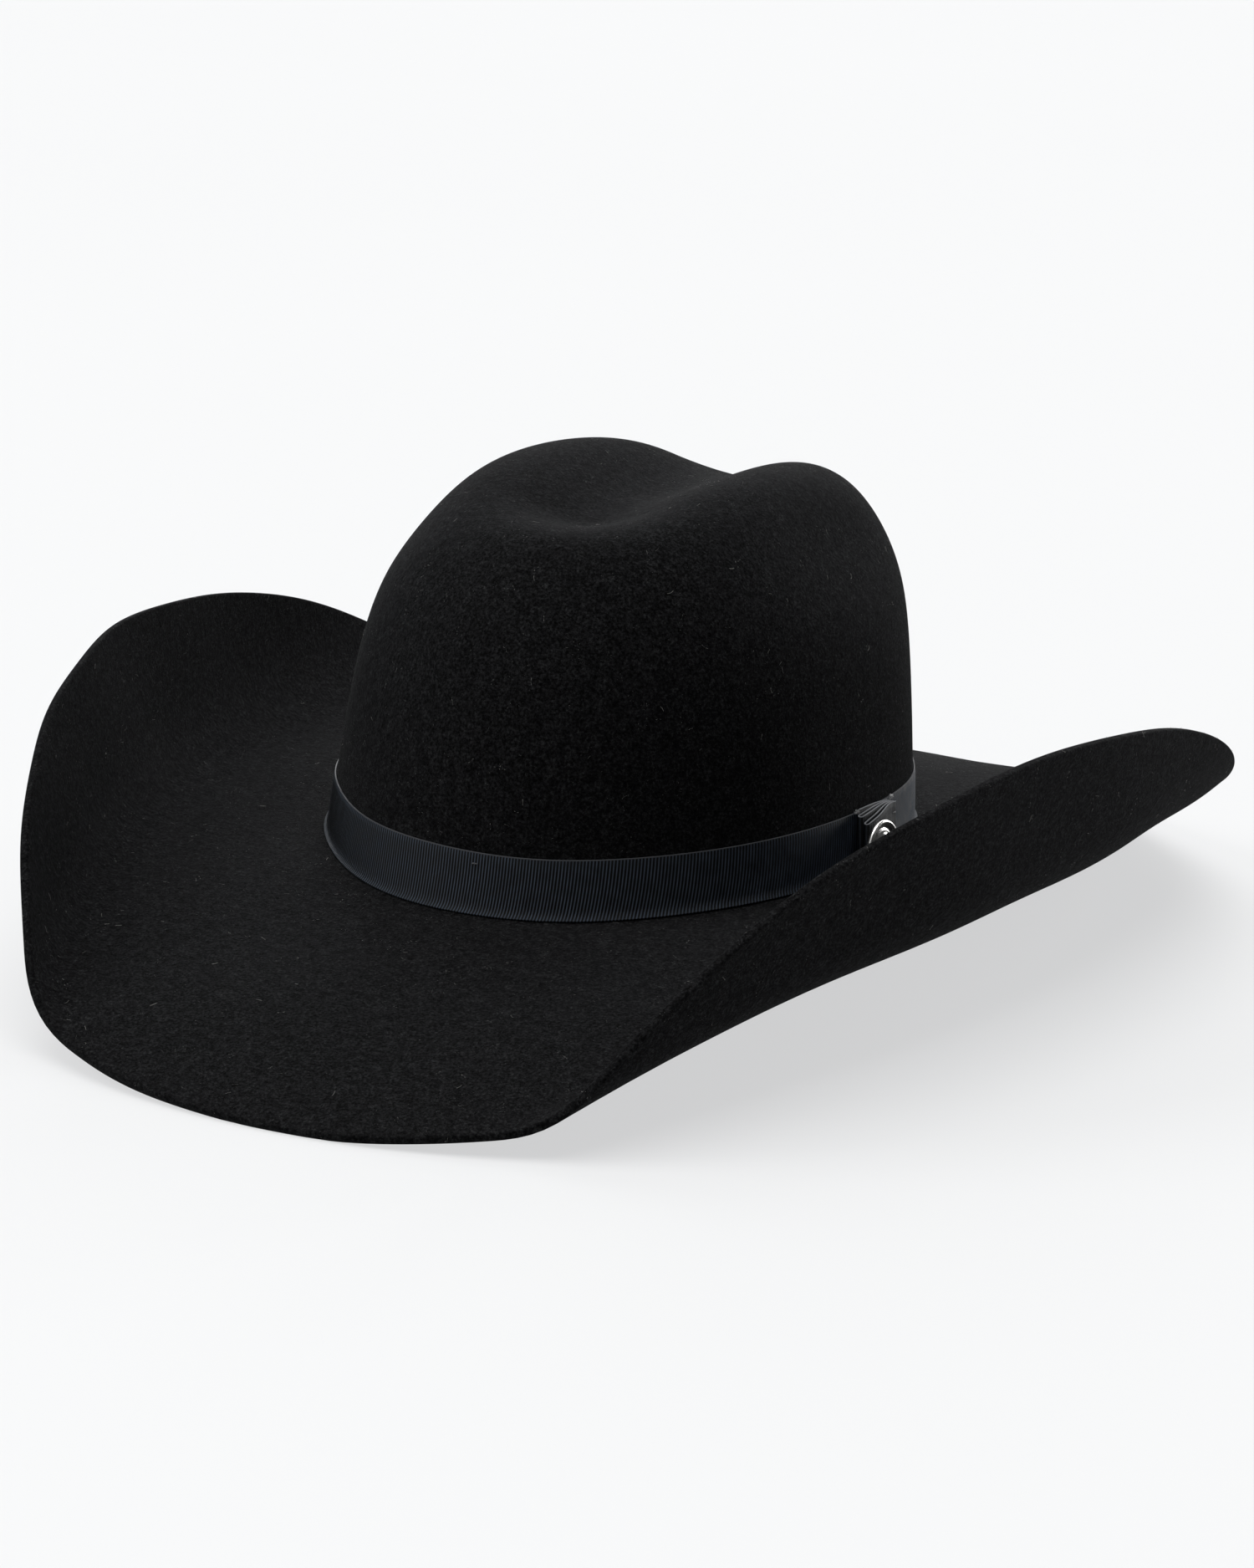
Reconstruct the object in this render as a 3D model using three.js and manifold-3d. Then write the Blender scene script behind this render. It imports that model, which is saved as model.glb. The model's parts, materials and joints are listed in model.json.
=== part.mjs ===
// Cowboy hat in black felt: a cattleman crown with a closed front, a brim rolled up at both sides and
// dipped at the front and back, a grosgrain band with a folded bow, a round metal pin, and the
// sweatband and satin lining inside.
//
// Every soft piece is first made round and flat-brimmed, as a hat blank that is turned about Z, and
// shapePoint() then blocks it: it draws the round blank to an oval, presses in the crease and the side
// dents, and curls the brim. Pieces that clear each other on the blank clear each other on the hat.
//
// Millimetres, +Z up, the hat's front towards -Y, the wearer's left towards +X. The hat rests on the
// front and back of its brim, and the origin is on the floor under the middle of it.
import * as THREE from 'three';
import { mergeVertices } from 'three/addons/utils/BufferGeometryUtils.js';
import Module from 'manifold-3d';

const wasm = await Module();
wasm.setup();

// ---- Driving dimensions ----
const CROWN_HALF_WIDTH = 85; // outside of the felt where the crown meets the brim
const CROWN_HALF_LENGTH = 102;
const CROWN_HEIGHT = 114.4; // over the break line, before the crease is pressed in
const FELT = 2.6;
const BREAK_FILLET = 3; // radius between crown and brim, on the upper face
const BREAK_HEIGHT = 33.01; // break line over the floor, at the middle of the hat
const LENGTHWISE_SHIFT = -1.4; // moves the hat along Y so that the origin is under its middle

const BRIM_SIDE = 104.7; // a dimensional brim: narrower at the sides than at the ends
const BRIM_FRONT = 114.2;
const BRIM_BACK = 117;

const SHOULDER_FULLNESS = 5.2; // exponents of the crown's upright outline
const SHOULDER_ROUNDING = 3.04;
const SIDE_TAPER = 0.158; // share of its width that the crown loses up to its top
const END_TAPER = 0.062;
const TAPER_CURVE = 1.25; // over 1, the wall starts upright and leans in towards the top
const CROWN_LEAN = 13.6; // the top's middle lies this far behind the base's

const CREASE_DEPTH = 15.4;
const CREASE_WIDTH = 25.9;
const CREASE_FRONT = -71; // where the crease closes, along Y
const CREASE_BACK = 116;
const CREASE_RUN_OUT = 46.5;
const CREASE_START = 0.5; // share of the crown's height where the crease begins to press in
const CREASE_FULL = 0.85;
const DENT_DEPTH = 5.8; // the soft hollow along each side of the crown
const DENT_HEIGHT = 92;
const DENT_SPREAD = 15;
const DENT_MIDDLE = 10;
const DENT_REACH = 44;
const DENT_EDGE = 40; // the dent is whole this far from the middle, and none at the middle

const ROLL_START = [120.1, 12.2, -45.2]; // distance of the roll from the middle: at mid-side, skew, bow
const ROLL_ANGLE = [80.9, 13.2, 1.7]; // how far the side stands up, in degrees, given the same way
const ROLL_LENGTH = [48.2, 35.4, 12.2];
const ROLL_SPAN = 204; // the skew and the bow are reached this far to the front and the back
const SHORTEST_ROLL = 8;
const ROLL_STEPS = 16;
const FRONT_DIP = 31.5;
const BACK_DIP = 31.6;
const FRONT_DIP_CURVE = 2.96;
const BACK_DIP_CURVE = 3.13;
const BRIM_TURNS = 10; // over this distance, thickness turns from upright to square to the brim

const GAP = 0.35; // clearance between two pieces that lie on each other
const RIBBON = 0.8;
const RIBBON_TOP = 17.6; // band's upper edge over the break line
const RIBBON_FOOT = 60; // degrees of the fillet that the band's lower edge covers
const TACK_RADIUS = 0.35;
const TACK_HEIGHT = 14.5;
const TACK_ANGLES = { ribbon_tack_front: -88, ribbon_tack_right: 178, ribbon_tack_back: 88 };

const BOW_ANGLE = -5.5; // degrees from the wearer's left, towards the front
const BOW_FRONT = -9; // ends of the bow along the band, from its middle
const BOW_BACK = 12;
const BOW_STEP = 1; // each piece of the bow ends this much behind the one outside it
const BOW_BOTTOM = 3.6;
const BOW_TOP = RIBBON_TOP + 0.8;
const BOW_LAYER = 0.6;
const LOOP_DEPTH = 2.7;
const BOW_TACK_PLACE = 10; // along the band, near the bow's rear end
const BOW_TACK_HEIGHTS = { bow_tack_upper: 14.5, bow_tack_lower: 7 };

const PIN_RADIUS = 8.5;
const PIN_PLACE = -4.8; // pin's middle along the band, from the bow's middle
const PIN_HEIGHT = 8.1;
const PIN_PLATE = 1.2;
const RIM_RADIUS = 0.6;
const RIM_HALF_DEPTH = 0.9;
const MOTIF_DEPTH = 0.7;
const PETALS = 5;
const POST_RADIUS = 0.6;
const POST_LENGTH = 13.6;
const CLUTCH_RADIUS = 5;
const CLUTCH_DEPTH = 3.2;

const LEATHER = 1.1;
const SWEATBAND_TOP = 50;
const SWEATBAND_FACE = [
  [-1, 6.4],
  [2, 7.6],
  [14, 8.2],
  [32, 9.2],
  [SWEATBAND_TOP, 10],
]; // [height, depth behind the felt's outer face] of the side that faces the felt
const REED_RADIUS = 1;
const REED_DEPTH = 4; // reed's middle behind the felt's outer face
const REED_HEIGHT = 0.3;
const REED_TAPE = 0.35;
const STITCH_HEIGHT = 2.4;
const STITCH_RADIUS = 0.3;
const BACK_JOINT = 0.5; // the sweatband and the reed meet end to end at the back

const TRIM = 0.4; // thickness of the seam tape and the size tag
const INNER_BOW_DEPTH = 1.4;
const INNER_BOW_LOOP = 10;
const INNER_BOW_BOTTOM = 5;
const INNER_BOW_TOP = 9.5;
const INNER_KNOT_HALF = 2;
const INNER_KNOT_PROUD = 0.3;

const LINING = 0.5;
const LINING_DEPTH = FELT + 1.1;
const LINING_SEAM = 0.4; // where the tip meets the side, as a share of the crown's outline
const LINING_FOOT = 0.83;
const PIPING_RADIUS = 0.5;

const AROUND = 48; // facets around the hat
const BLANK_RADIUS = (CROWN_HALF_WIDTH + CROWN_HALF_LENGTH) / 2;
const BLANK_BRIM = (BRIM_SIDE + (BRIM_FRONT + BRIM_BACK) / 2) / 2;

// ---- Finishes ----
const finish = (color, roughness, metalness = 0) => () =>
  new THREE.MeshStandardMaterial({ color, roughness, metalness });
const blackFelt = finish('#17171a', 0.95);
const grosgrain = finish('#22262e', 0.6);
const polishedSteel = finish('#c9ccd0', 0.2, 1);
const darkLeather = finish('#2a1c15', 0.5);
const satin = finish('#20222a', 0.35);
const cottonThread = finish('#2b2b2e', 0.8);
const reedPlastic = finish('#d8d6cf', 0.45);
const cardTag = finish('#d9d4c6', 0.85);

// ---- Small helpers ----
const { lerp, clamp, degToRad } = THREE.MathUtils;
const smooth = (x) => THREE.MathUtils.smoothstep(x, 0, 1);
const bell = (x) => Math.exp(-x * x);
const quadratic = ([middle, skew, bow], q) => middle + skew * q + bow * q * q;

const hat = new THREE.Group();

function piece(name, geometry, material, parent = hat) {
  const mesh = new THREE.Mesh(geometry, material());
  mesh.name = name;
  parent.add(mesh);
  return mesh;
}

// ---- Booleans ----
function toSolid(geometry) {
  const bare = geometry.index ? geometry.toNonIndexed() : geometry.clone();
  bare.deleteAttribute('normal');
  bare.deleteAttribute('uv');
  const merged = mergeVertices(bare, 1e-4);
  return new wasm.Manifold(
    new wasm.Mesh({
      numProp: 3,
      vertProperties: merged.attributes.position.array,
      triVerts: new Uint32Array(merged.index.array),
    })
  );
}

function toGeometry(solid) {
  const mesh = solid.getMesh();
  const geometry = new THREE.BufferGeometry();
  geometry.setAttribute('position', new THREE.BufferAttribute(mesh.vertProperties, 3));
  geometry.setIndex(new THREE.BufferAttribute(mesh.triVerts, 1));
  geometry.computeVertexNormals();
  return geometry;
}

const subtract = (geometry, cutters) =>
  toGeometry(cutters.reduce((left, cutter) => left.subtract(toSolid(cutter)), toSolid(geometry)));

// ---- Blocking: from the round blank to the hat's own shape ----

// The brim's upper face over a point of its flat outline: rolled up at the sides, dipped at the ends.
function brimFace(flatX, flatY) {
  const q = flatY / ROLL_SPAN;
  const start = quadratic(ROLL_START, q);
  const angle = degToRad(quadratic(ROLL_ANGLE, q));
  const length = Math.max(quadratic(ROLL_LENGTH, q), SHORTEST_ROLL);
  const beyond = Math.max(Math.abs(flatX) - start, 0);
  let reach = 0;
  let rise = 0;
  for (let k = 0; k < ROLL_STEPS; k++) {
    const along = ((k + 0.5) / ROLL_STEPS) * beyond;
    const lift = angle * smooth(along / length);
    reach += (Math.cos(lift) * beyond) / ROLL_STEPS;
    rise += (Math.sin(lift) * beyond) / ROLL_STEPS;
  }
  const toFront = clamp(-flatY / (CROWN_HALF_LENGTH + BRIM_FRONT), 0, 2);
  const toBack = clamp(flatY / (CROWN_HALF_LENGTH + BRIM_BACK), 0, 2);
  const dip = FRONT_DIP * toFront ** FRONT_DIP_CURVE + BACK_DIP * toBack ** BACK_DIP_CURVE;
  const x = Math.sign(flatX) * (Math.min(Math.abs(flatX), start) + reach);
  return { point: new THREE.Vector3(x, flatY, BREAK_HEIGHT + rise - dip), dip };
}

function brimNormal(flatX, flatY) {
  const step = 0.5;
  const alongX = brimFace(flatX + step, flatY).point.sub(brimFace(flatX - step, flatY).point);
  const alongY = brimFace(flatX, flatY + step).point.sub(brimFace(flatX, flatY - step).point);
  return alongX.cross(alongY).normalize();
}

// A point of the blank, at angle a, radius r and height h over the break line, on the finished hat.
function shapePoint(a, r, h) {
  const inward = Math.min(r / BLANK_RADIUS, 1);
  const onBrim = Math.max(r - BLANK_RADIUS, 0) / BLANK_BRIM;
  const endWidth = lerp(BRIM_BACK, BRIM_FRONT, (1 - Math.sin(a)) / 2);
  const flatX = Math.cos(a) * (CROWN_HALF_WIDTH * inward + BRIM_SIDE * onBrim);
  const flatY = Math.sin(a) * (CROWN_HALF_LENGTH * inward + endWidth * onBrim);

  const { point, dip } = brimFace(flatX, flatY);
  const upright = new THREE.Vector3(0, 0, 1);
  const pastFillet = clamp((r - BLANK_RADIUS - BREAK_FILLET) / BRIM_TURNS, 0, 1);
  const up = upright.lerp(brimNormal(flatX, flatY), pastFillet).normalize();
  point.addScaledVector(up, h);

  const rise = clamp(h / CROWN_HEIGHT, 0, 1);
  const taper = rise ** TAPER_CURVE;
  point.x *= 1 - SIDE_TAPER * taper;
  point.y = point.y * (1 - END_TAPER * taper) + CROWN_LEAN * rise;
  point.z += dip * rise;

  const fromFront = smooth((point.y - CREASE_FRONT) / CREASE_RUN_OUT);
  const fromBack = smooth((CREASE_BACK - point.y) / CREASE_RUN_OUT);
  const nearTop = smooth((rise - CREASE_START) / (CREASE_FULL - CREASE_START));
  const crease = CREASE_DEPTH * bell(point.x / CREASE_WIDTH) * fromFront * fromBack * nearTop;
  const dent = bell((h - DENT_HEIGHT) / DENT_SPREAD) * bell((point.y - DENT_MIDDLE) / DENT_REACH);
  point.x -= DENT_DEPTH * dent * smooth(Math.abs(point.x) / DENT_EDGE) * Math.sign(point.x);
  point.z -= crease;
  point.y += LENGTHWISE_SHIFT;
  return point;
}

// Moves every vertex of a piece made on the round blank to its place on the hat.
function block(geometry) {
  const position = geometry.attributes.position;
  for (let i = 0; i < position.count; i++) {
    const x = position.getX(i);
    const y = position.getY(i);
    const placed = shapePoint(Math.atan2(y, x), Math.hypot(x, y), position.getZ(i));
    position.setXYZ(i, placed.x, placed.y, placed.z);
  }
  geometry.computeVertexNormals();
  return geometry;
}

// A ring or a cap turned about Z from a profile of [radius, height] points, then blocked.
function turned(profile) {
  const points = profile.map(([r, h]) => new THREE.Vector2(r, h));
  const lathe = new THREE.LatheGeometry(points, AROUND);
  lathe.rotateX(Math.PI / 2);
  return block(lathe);
}

const closed = (profile) => [...profile, profile[0]];

// A round thread, cord or reed that goes right round the blank.
function turnedCord(radius, middle, height, sides) {
  const section = [];
  for (let k = 0; k < sides; k++) {
    const a = (2 * Math.PI * k) / sides;
    section.push([middle + radius * Math.cos(a), height + radius * Math.sin(a)]);
  }
  return turned(closed(section));
}

// A piece that lies along the wall of the crown, made flat with x out of the felt's outer face, y along
// the wall towards the back of the hat's left side and z up it.
function wrapped(geometry, middleAngle) {
  const position = geometry.attributes.position;
  for (let i = 0; i < position.count; i++) {
    const a = middleAngle + position.getY(i) / BLANK_RADIUS;
    const r = BLANK_RADIUS + position.getX(i);
    const placed = shapePoint(a, r, position.getZ(i));
    position.setXYZ(i, placed.x, placed.y, placed.z);
  }
  geometry.computeVertexNormals();
  return geometry;
}

// ---- The felt ----

// The crown's upright outline from its tip to the top of the fillet, for a crown inset by some depth.
class CrownOutline extends THREE.Curve {
  constructor(inset) {
    super();
    this.inset = inset;
  }

  getPoint(t, target = new THREE.Vector2()) {
    const foot = Math.acos((BREAK_FILLET / CROWN_HEIGHT) ** (SHOULDER_FULLNESS / 2));
    const angle = t * foot;
    const height = Math.cos(angle) ** (2 / SHOULDER_FULLNESS);
    const radius = Math.sin(angle) ** (2 / SHOULDER_ROUNDING);
    return target.set(radius * (BLANK_RADIUS - this.inset), height * (CROWN_HEIGHT - this.inset));
  }
}

// Points of that outline between two shares of its length, tip first.
function crownOutline(inset, from, to, steps) {
  const curve = new CrownOutline(inset);
  const points = [];
  for (let k = 0; k <= steps; k++) {
    const { x, y } = curve.getPointAt(lerp(from, to, k / steps));
    points.push([x, y]);
  }
  return points;
}

// The rounded corner between crown and brim, at some depth under the upper face.
function filletOutline(depth, steps, from = 0, to = Math.PI / 2) {
  const points = [];
  for (let k = 0; k <= steps; k++) {
    const a = lerp(from, to, k / steps);
    const radius = BREAK_FILLET + depth;
    points.push([
      BLANK_RADIUS + BREAK_FILLET - radius * Math.cos(a),
      BREAK_FILLET - radius * Math.sin(a),
    ]);
  }
  return points;
}

function brimOutline(height, steps) {
  const points = [];
  const first = BLANK_RADIUS + BREAK_FILLET;
  const last = BLANK_RADIUS + BLANK_BRIM - FELT / 2;
  for (let k = 1; k <= steps; k++) {
    points.push([lerp(first, last, k / steps), height]);
  }
  return points;
}

function feltBlank() {
  const outside = [
    ...crownOutline(0, 0, 1, 16).slice(0, -1),
    ...filletOutline(0, 3),
    ...brimOutline(0, 9),
  ];
  const inside = [
    ...crownOutline(FELT, 0, 1, 12).slice(0, -1),
    ...filletOutline(FELT, 3),
    ...brimOutline(-FELT, 9),
  ];
  const cutEdge = [BLANK_RADIUS + BLANK_BRIM, -FELT / 2];
  return turned([...inside, cutEdge, ...outside.reverse()]);
}

// ---- Places on the wall of the crown ----
const BORE_REACH = 12; // of the holes, on each side of the felt's outer face
const TACK_HEAD = 0.5; // how far a tack stands out of the band and the felt

// Axes of a spot on the crown: x along the band towards the back, y up the wall, z straight out of it.
function wallFrame(angle, height) {
  const step = 0.01;
  const origin = shapePoint(angle, BLANK_RADIUS, height);
  const along = shapePoint(angle + step, BLANK_RADIUS, height).sub(origin).normalize();
  const up = shapePoint(angle, BLANK_RADIUS, height + 1).sub(origin).normalize();
  const out = along.clone().cross(up).normalize();
  return new THREE.Matrix4().makeBasis(along, out.clone().cross(along), out).setPosition(origin);
}

const bowAngle = degToRad(BOW_ANGLE);
const pinAngle = bowAngle + PIN_PLACE / BLANK_RADIUS;
const pinFrame = wallFrame(pinAngle, PIN_HEIGHT);

function boreAlong(frame, radius, from, to) {
  const bore = new THREE.CylinderGeometry(radius, radius, to - from, 12);
  return bore.rotateX(Math.PI / 2).translate(0, 0, (from + to) / 2).applyMatrix4(frame);
}

const postBore = () => boreAlong(pinFrame, POST_RADIUS + GAP, -BORE_REACH, BORE_REACH);

const tackFrames = Object.entries(TACK_ANGLES).map(([name, angle]) => [
  name,
  wallFrame(degToRad(angle), TACK_HEIGHT),
]);
const bowTackFrames = Object.entries(BOW_TACK_HEIGHTS).map(([name, height]) => [
  name,
  wallFrame(bowAngle + BOW_TACK_PLACE / BLANK_RADIUS, height),
]);
const tackBores = () =>
  [...tackFrames, ...bowTackFrames].map(([, frame]) =>
    boreAlong(frame, TACK_RADIUS + GAP, -BORE_REACH, BORE_REACH)
  );

// ---- Outer pieces ----
function addFelt() {
  const below = new THREE.BoxGeometry(600, 600, 20).translate(0, 0, -10);
  const felt = subtract(feltBlank(), [postBore(), ...tackBores(), below]);
  piece('felt_body', felt, blackFelt);
}

function addBand() {
  const face = (depth, steps) => [
    [BLANK_RADIUS - depth, RIBBON_TOP],
    [BLANK_RADIUS - depth, (RIBBON_TOP + BREAK_FILLET) / 2],
    ...filletOutline(depth, steps, 0, degToRad(RIBBON_FOOT)),
  ];
  const profile = [...face(-GAP, 3), ...face(-GAP - RIBBON, 3).reverse()];
  const band = subtract(turned(closed(profile)), [postBore(), ...tackBores()]);
  piece('hatband_ribbon', band, grosgrain);
  for (const [name, frame] of tackFrames) {
    const stitch = boreAlong(frame, TACK_RADIUS, -FELT - TACK_HEAD, GAP + RIBBON + TACK_HEAD);
    piece(name, stitch, cottonThread);
  }
}

// A strip of ribbon standing on edge: an outline in (out, along) that is extruded up the wall.
function standingStrip(outline, hole, bottom, top) {
  const shape = new THREE.Shape(outline);
  if (hole) {
    shape.holes.push(new THREE.Path(hole));
  }
  const solid = new THREE.ExtrudeGeometry(shape, {
    depth: top - bottom,
    bevelEnabled: false,
    steps: 2,
  });
  return solid.translate(0, 0, bottom);
}

// The outline of a strip between two depths, with points along it so that it can follow the crown.
function stripOutline(from, to, inner, outer) {
  const steps = 4;
  const points = [];
  for (let k = 0; k <= steps; k++) {
    points.push(new THREE.Vector2(outer, lerp(from, to, k / steps)));
  }
  for (let k = steps; k >= 0; k--) {
    points.push(new THREE.Vector2(inner, lerp(from, to, k / steps)));
  }
  return points;
}

function loopOf(from, to, inner, outer, wall) {
  const hole = stripOutline(from + wall, to - wall, inner + wall, outer - wall);
  return { outline: stripOutline(from, to, inner, outer), hole };
}

function addBow() {
  const base = GAP + RIBBON + GAP;
  const innerLoop = base + BOW_LAYER + GAP;
  const outerLoop = innerLoop + LOOP_DEPTH + GAP;
  const bowFace = outerLoop + LOOP_DEPTH;

  const place = (name, { outline, hole }) => {
    const strip = wrapped(standingStrip(outline, hole, BOW_BOTTOM, BOW_TOP), bowAngle);
    piece(name, subtract(strip, [postBore(), ...tackBores()]), grosgrain);
  };
  const loop = (from, to, inner) => loopOf(from, to, inner, inner + LOOP_DEPTH, BOW_LAYER);
  const baseFront = BOW_FRONT + 2 * BOW_STEP;
  place('bow_base', { outline: stripOutline(baseFront, BOW_BACK, base, base + BOW_LAYER) });
  place('bow_loop_inner', loop(BOW_FRONT + BOW_STEP, BOW_BACK, innerLoop));
  place('bow_loop_outer', loop(BOW_FRONT, BOW_BACK, outerLoop));

  // The rear ends of all the layers are sewn down to the band.
  for (const [name, frame] of bowTackFrames) {
    const stitch = boreAlong(frame, TACK_RADIUS, -FELT - TACK_HEAD, bowFace + TACK_HEAD);
    piece(name, stitch, cottonThread);
  }
  return bowFace;
}

// ---- The pin, along its own axis: z = 0 on the felt's outer face ----
function addPin(bowFace) {
  const pin = new THREE.Group();
  pin.applyMatrix4(pinFrame);
  hat.add(pin);
  const upright = (geometry, z) => geometry.rotateX(Math.PI / 2).translate(0, 0, z);

  const back = bowFace + GAP;
  const plateRadius = PIN_RADIUS - 2 * RIM_RADIUS - GAP;
  const plate = new THREE.LatheGeometry(
    [
      new THREE.Vector2(0, 0),
      new THREE.Vector2(plateRadius, 0),
      new THREE.Vector2(plateRadius, PIN_PLATE * 0.6),
      new THREE.Vector2(plateRadius / 2, PIN_PLATE * 0.9),
      new THREE.Vector2(0, PIN_PLATE),
    ],
    24
  );
  piece('pin_disc', upright(plate, back), polishedSteel, pin);

  const rimSection = [];
  const rimSides = 6;
  for (let k = 0; k <= rimSides; k++) {
    const a = (2 * Math.PI * k) / rimSides;
    const r = PIN_RADIUS - RIM_RADIUS + RIM_RADIUS * Math.cos(a);
    rimSection.push(new THREE.Vector2(r, RIM_HALF_DEPTH + RIM_HALF_DEPTH * Math.sin(a)));
  }
  piece('pin_rim', upright(new THREE.LatheGeometry(rimSection, 24), back), polishedSteel, pin);

  // A plain rosette.
  const rosette = [];
  const outlinePoints = PETALS * 6;
  for (let k = 0; k < outlinePoints; k++) {
    const a = (2 * Math.PI * k) / outlinePoints;
    const r = PIN_RADIUS * (0.42 + 0.14 * Math.cos(PETALS * a));
    rosette.push(new THREE.Vector2(r * Math.cos(a), r * Math.sin(a)));
  }
  const motif = new THREE.ExtrudeGeometry(new THREE.Shape(rosette), {
    depth: MOTIF_DEPTH,
    bevelEnabled: false,
  });
  motif.translate(0, 0, back + PIN_PLATE + GAP);
  piece('pin_motif', motif, polishedSteel, pin);

  const post = new THREE.LatheGeometry(
    [
      new THREE.Vector2(0, -POST_LENGTH),
      new THREE.Vector2(POST_RADIUS * 0.4, -POST_LENGTH + 0.6),
      new THREE.Vector2(POST_RADIUS, -POST_LENGTH + 1.6),
      new THREE.Vector2(POST_RADIUS, 0),
      new THREE.Vector2(0, 0),
    ],
    12
  );
  piece('pin_post', upright(post, back - GAP), polishedSteel, pin);

  const bore = POST_RADIUS + GAP;
  const clutch = new THREE.LatheGeometry(
    [
      new THREE.Vector2(bore, 0),
      new THREE.Vector2(CLUTCH_RADIUS - 0.4, 0),
      new THREE.Vector2(CLUTCH_RADIUS, 0.4),
      new THREE.Vector2(CLUTCH_RADIUS - 0.6, CLUTCH_DEPTH / 2),
      new THREE.Vector2(CLUTCH_RADIUS - 1.6, CLUTCH_DEPTH),
      new THREE.Vector2(bore, CLUTCH_DEPTH),
      new THREE.Vector2(bore, 0),
    ],
    16
  );
  clutch.rotateX(-Math.PI / 2).translate(0, 0, -FELT - GAP);
  piece('pin_clutch', clutch, polishedSteel, pin);
}

// ---- Inside: the sweatband and its reed ----
const sweatbandAt = (extra) =>
  SWEATBAND_FACE.map(([h, depth]) => [BLANK_RADIUS - depth - extra, h]);

// Depth of that face at a height between two of its points.
function sweatbandDepth(height) {
  const upper = SWEATBAND_FACE.findIndex(([h]) => h >= height);
  const [h0, d0] = SWEATBAND_FACE[upper - 1];
  const [h1, d1] = SWEATBAND_FACE[upper];
  return lerp(d0, d1, (height - h0) / (h1 - h0));
}

function addSweatband() {
  const profile = closed([...sweatbandAt(LEATHER).reverse(), ...sweatbandAt(0)]);
  const joint = new THREE.BoxGeometry(BACK_JOINT, 40, 120);
  joint.translate(0, CROWN_HALF_LENGTH, BREAK_HEIGHT);
  piece('sweatband', subtract(turned(profile), [joint]), darkLeather);

  const reed = turnedCord(REED_RADIUS, BLANK_RADIUS - REED_DEPTH, REED_HEIGHT, 6);
  piece('sweatband_reed', subtract(reed, [joint]), reedPlastic);

  // The tape goes under the reed and up both sides of it.
  const hem = (radius) => {
    const points = [];
    const steps = 4;
    for (let k = 0; k <= steps; k++) {
      const a = lerp(-Math.PI * 1.15, Math.PI * 0.15, k / steps);
      points.push([
        BLANK_RADIUS - REED_DEPTH + radius * Math.cos(a),
        REED_HEIGHT + radius * Math.sin(a),
      ]);
    }
    return points;
  };
  const tape = [...hem(REED_RADIUS + GAP + REED_TAPE), ...hem(REED_RADIUS + GAP).reverse()];
  piece('reed_tape', turned(closed(tape)), satin);

  const threadDepth = sweatbandDepth(STITCH_HEIGHT) + LEATHER + GAP + STITCH_RADIUS;
  const thread = turnedCord(STITCH_RADIUS, BLANK_RADIUS - threadDepth, STITCH_HEIGHT, 4);
  piece('sweatband_stitching', thread, cottonThread);
}

// A thin upright patch behind the sweatband: its middle in degrees, its width, and its two heights.
function sweatbandPatch(middle, width, bottom, top) {
  const patch = new THREE.BoxGeometry(TRIM, width, top - bottom, 1, 4, 4);
  patch.translate(0, 0, (top + bottom) / 2);
  const position = patch.attributes.position;
  for (let i = 0; i < position.count; i++) {
    const out = GAP + TRIM / 2 - sweatbandDepth(position.getZ(i));
    position.setX(i, position.getX(i) + out);
  }
  return wrapped(patch, degToRad(middle));
}

function addSweatbandTrim() {
  piece('sweatband_seam_tape', sweatbandPatch(90, 10, 3, 46), satin);
  piece('size_tag', sweatbandPatch(108, 24, 16, 34), cardTag);

  // A small flat bow marks the back of the hat.
  const backAngle = degToRad(90);
  const face = -(sweatbandDepth(INNER_BOW_TOP) + LEATHER + GAP);
  const deep = face - INNER_BOW_DEPTH;
  for (const [name, side] of [['inner_bow_loop_left', 1], ['inner_bow_loop_right', -1]]) {
    const near = side * (INNER_KNOT_HALF + GAP);
    const far = near + side * INNER_BOW_LOOP;
    const { outline, hole } = loopOf(Math.min(near, far), Math.max(near, far), deep, face, GAP);
    const loop = standingStrip(outline, hole, INNER_BOW_BOTTOM, INNER_BOW_TOP);
    piece(name, wrapped(loop, backAngle), satin);
  }
  const knotHeight = INNER_BOW_TOP - INNER_BOW_BOTTOM + INNER_KNOT_PROUD;
  const knotDepth = INNER_BOW_DEPTH + INNER_KNOT_PROUD;
  const knot = new THREE.BoxGeometry(knotDepth, 2 * INNER_KNOT_HALF, knotHeight, 1, 2, 1);
  knot.translate(face - knotDepth / 2, 0, (INNER_BOW_TOP + INNER_BOW_BOTTOM) / 2);
  piece('inner_bow_knot', wrapped(knot, backAngle), satin);
}

// ---- Inside: the satin lining ----
function addLining() {
  const layer = (from, to, steps) => [
    crownOutline(LINING_DEPTH, from, to, steps),
    crownOutline(LINING_DEPTH + LINING, from, to, steps),
  ];
  const [tipOuter, tipInner] = layer(0, LINING_SEAM, 5);
  piece('lining_tip', turned([...tipInner, ...tipOuter.reverse()]), satin);

  const [sideOuter, sideInner] = layer(LINING_SEAM + 0.012, LINING_FOOT, 5);
  piece('lining_side', turned(closed([...sideInner, ...sideOuter.reverse()])), satin);

  const inset = LINING_DEPTH + LINING + 2 * PIPING_RADIUS;
  const [[seamRadius, seamHeight]] = crownOutline(inset, LINING_SEAM, 1, 1);
  piece('lining_piping', turnedCord(PIPING_RADIUS, seamRadius, seamHeight, 5), satin);
}

addFelt();
addBand();
addPin(addBow());
addSweatband();
addSweatbandTrim();
addLining();

export default hat;
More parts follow.
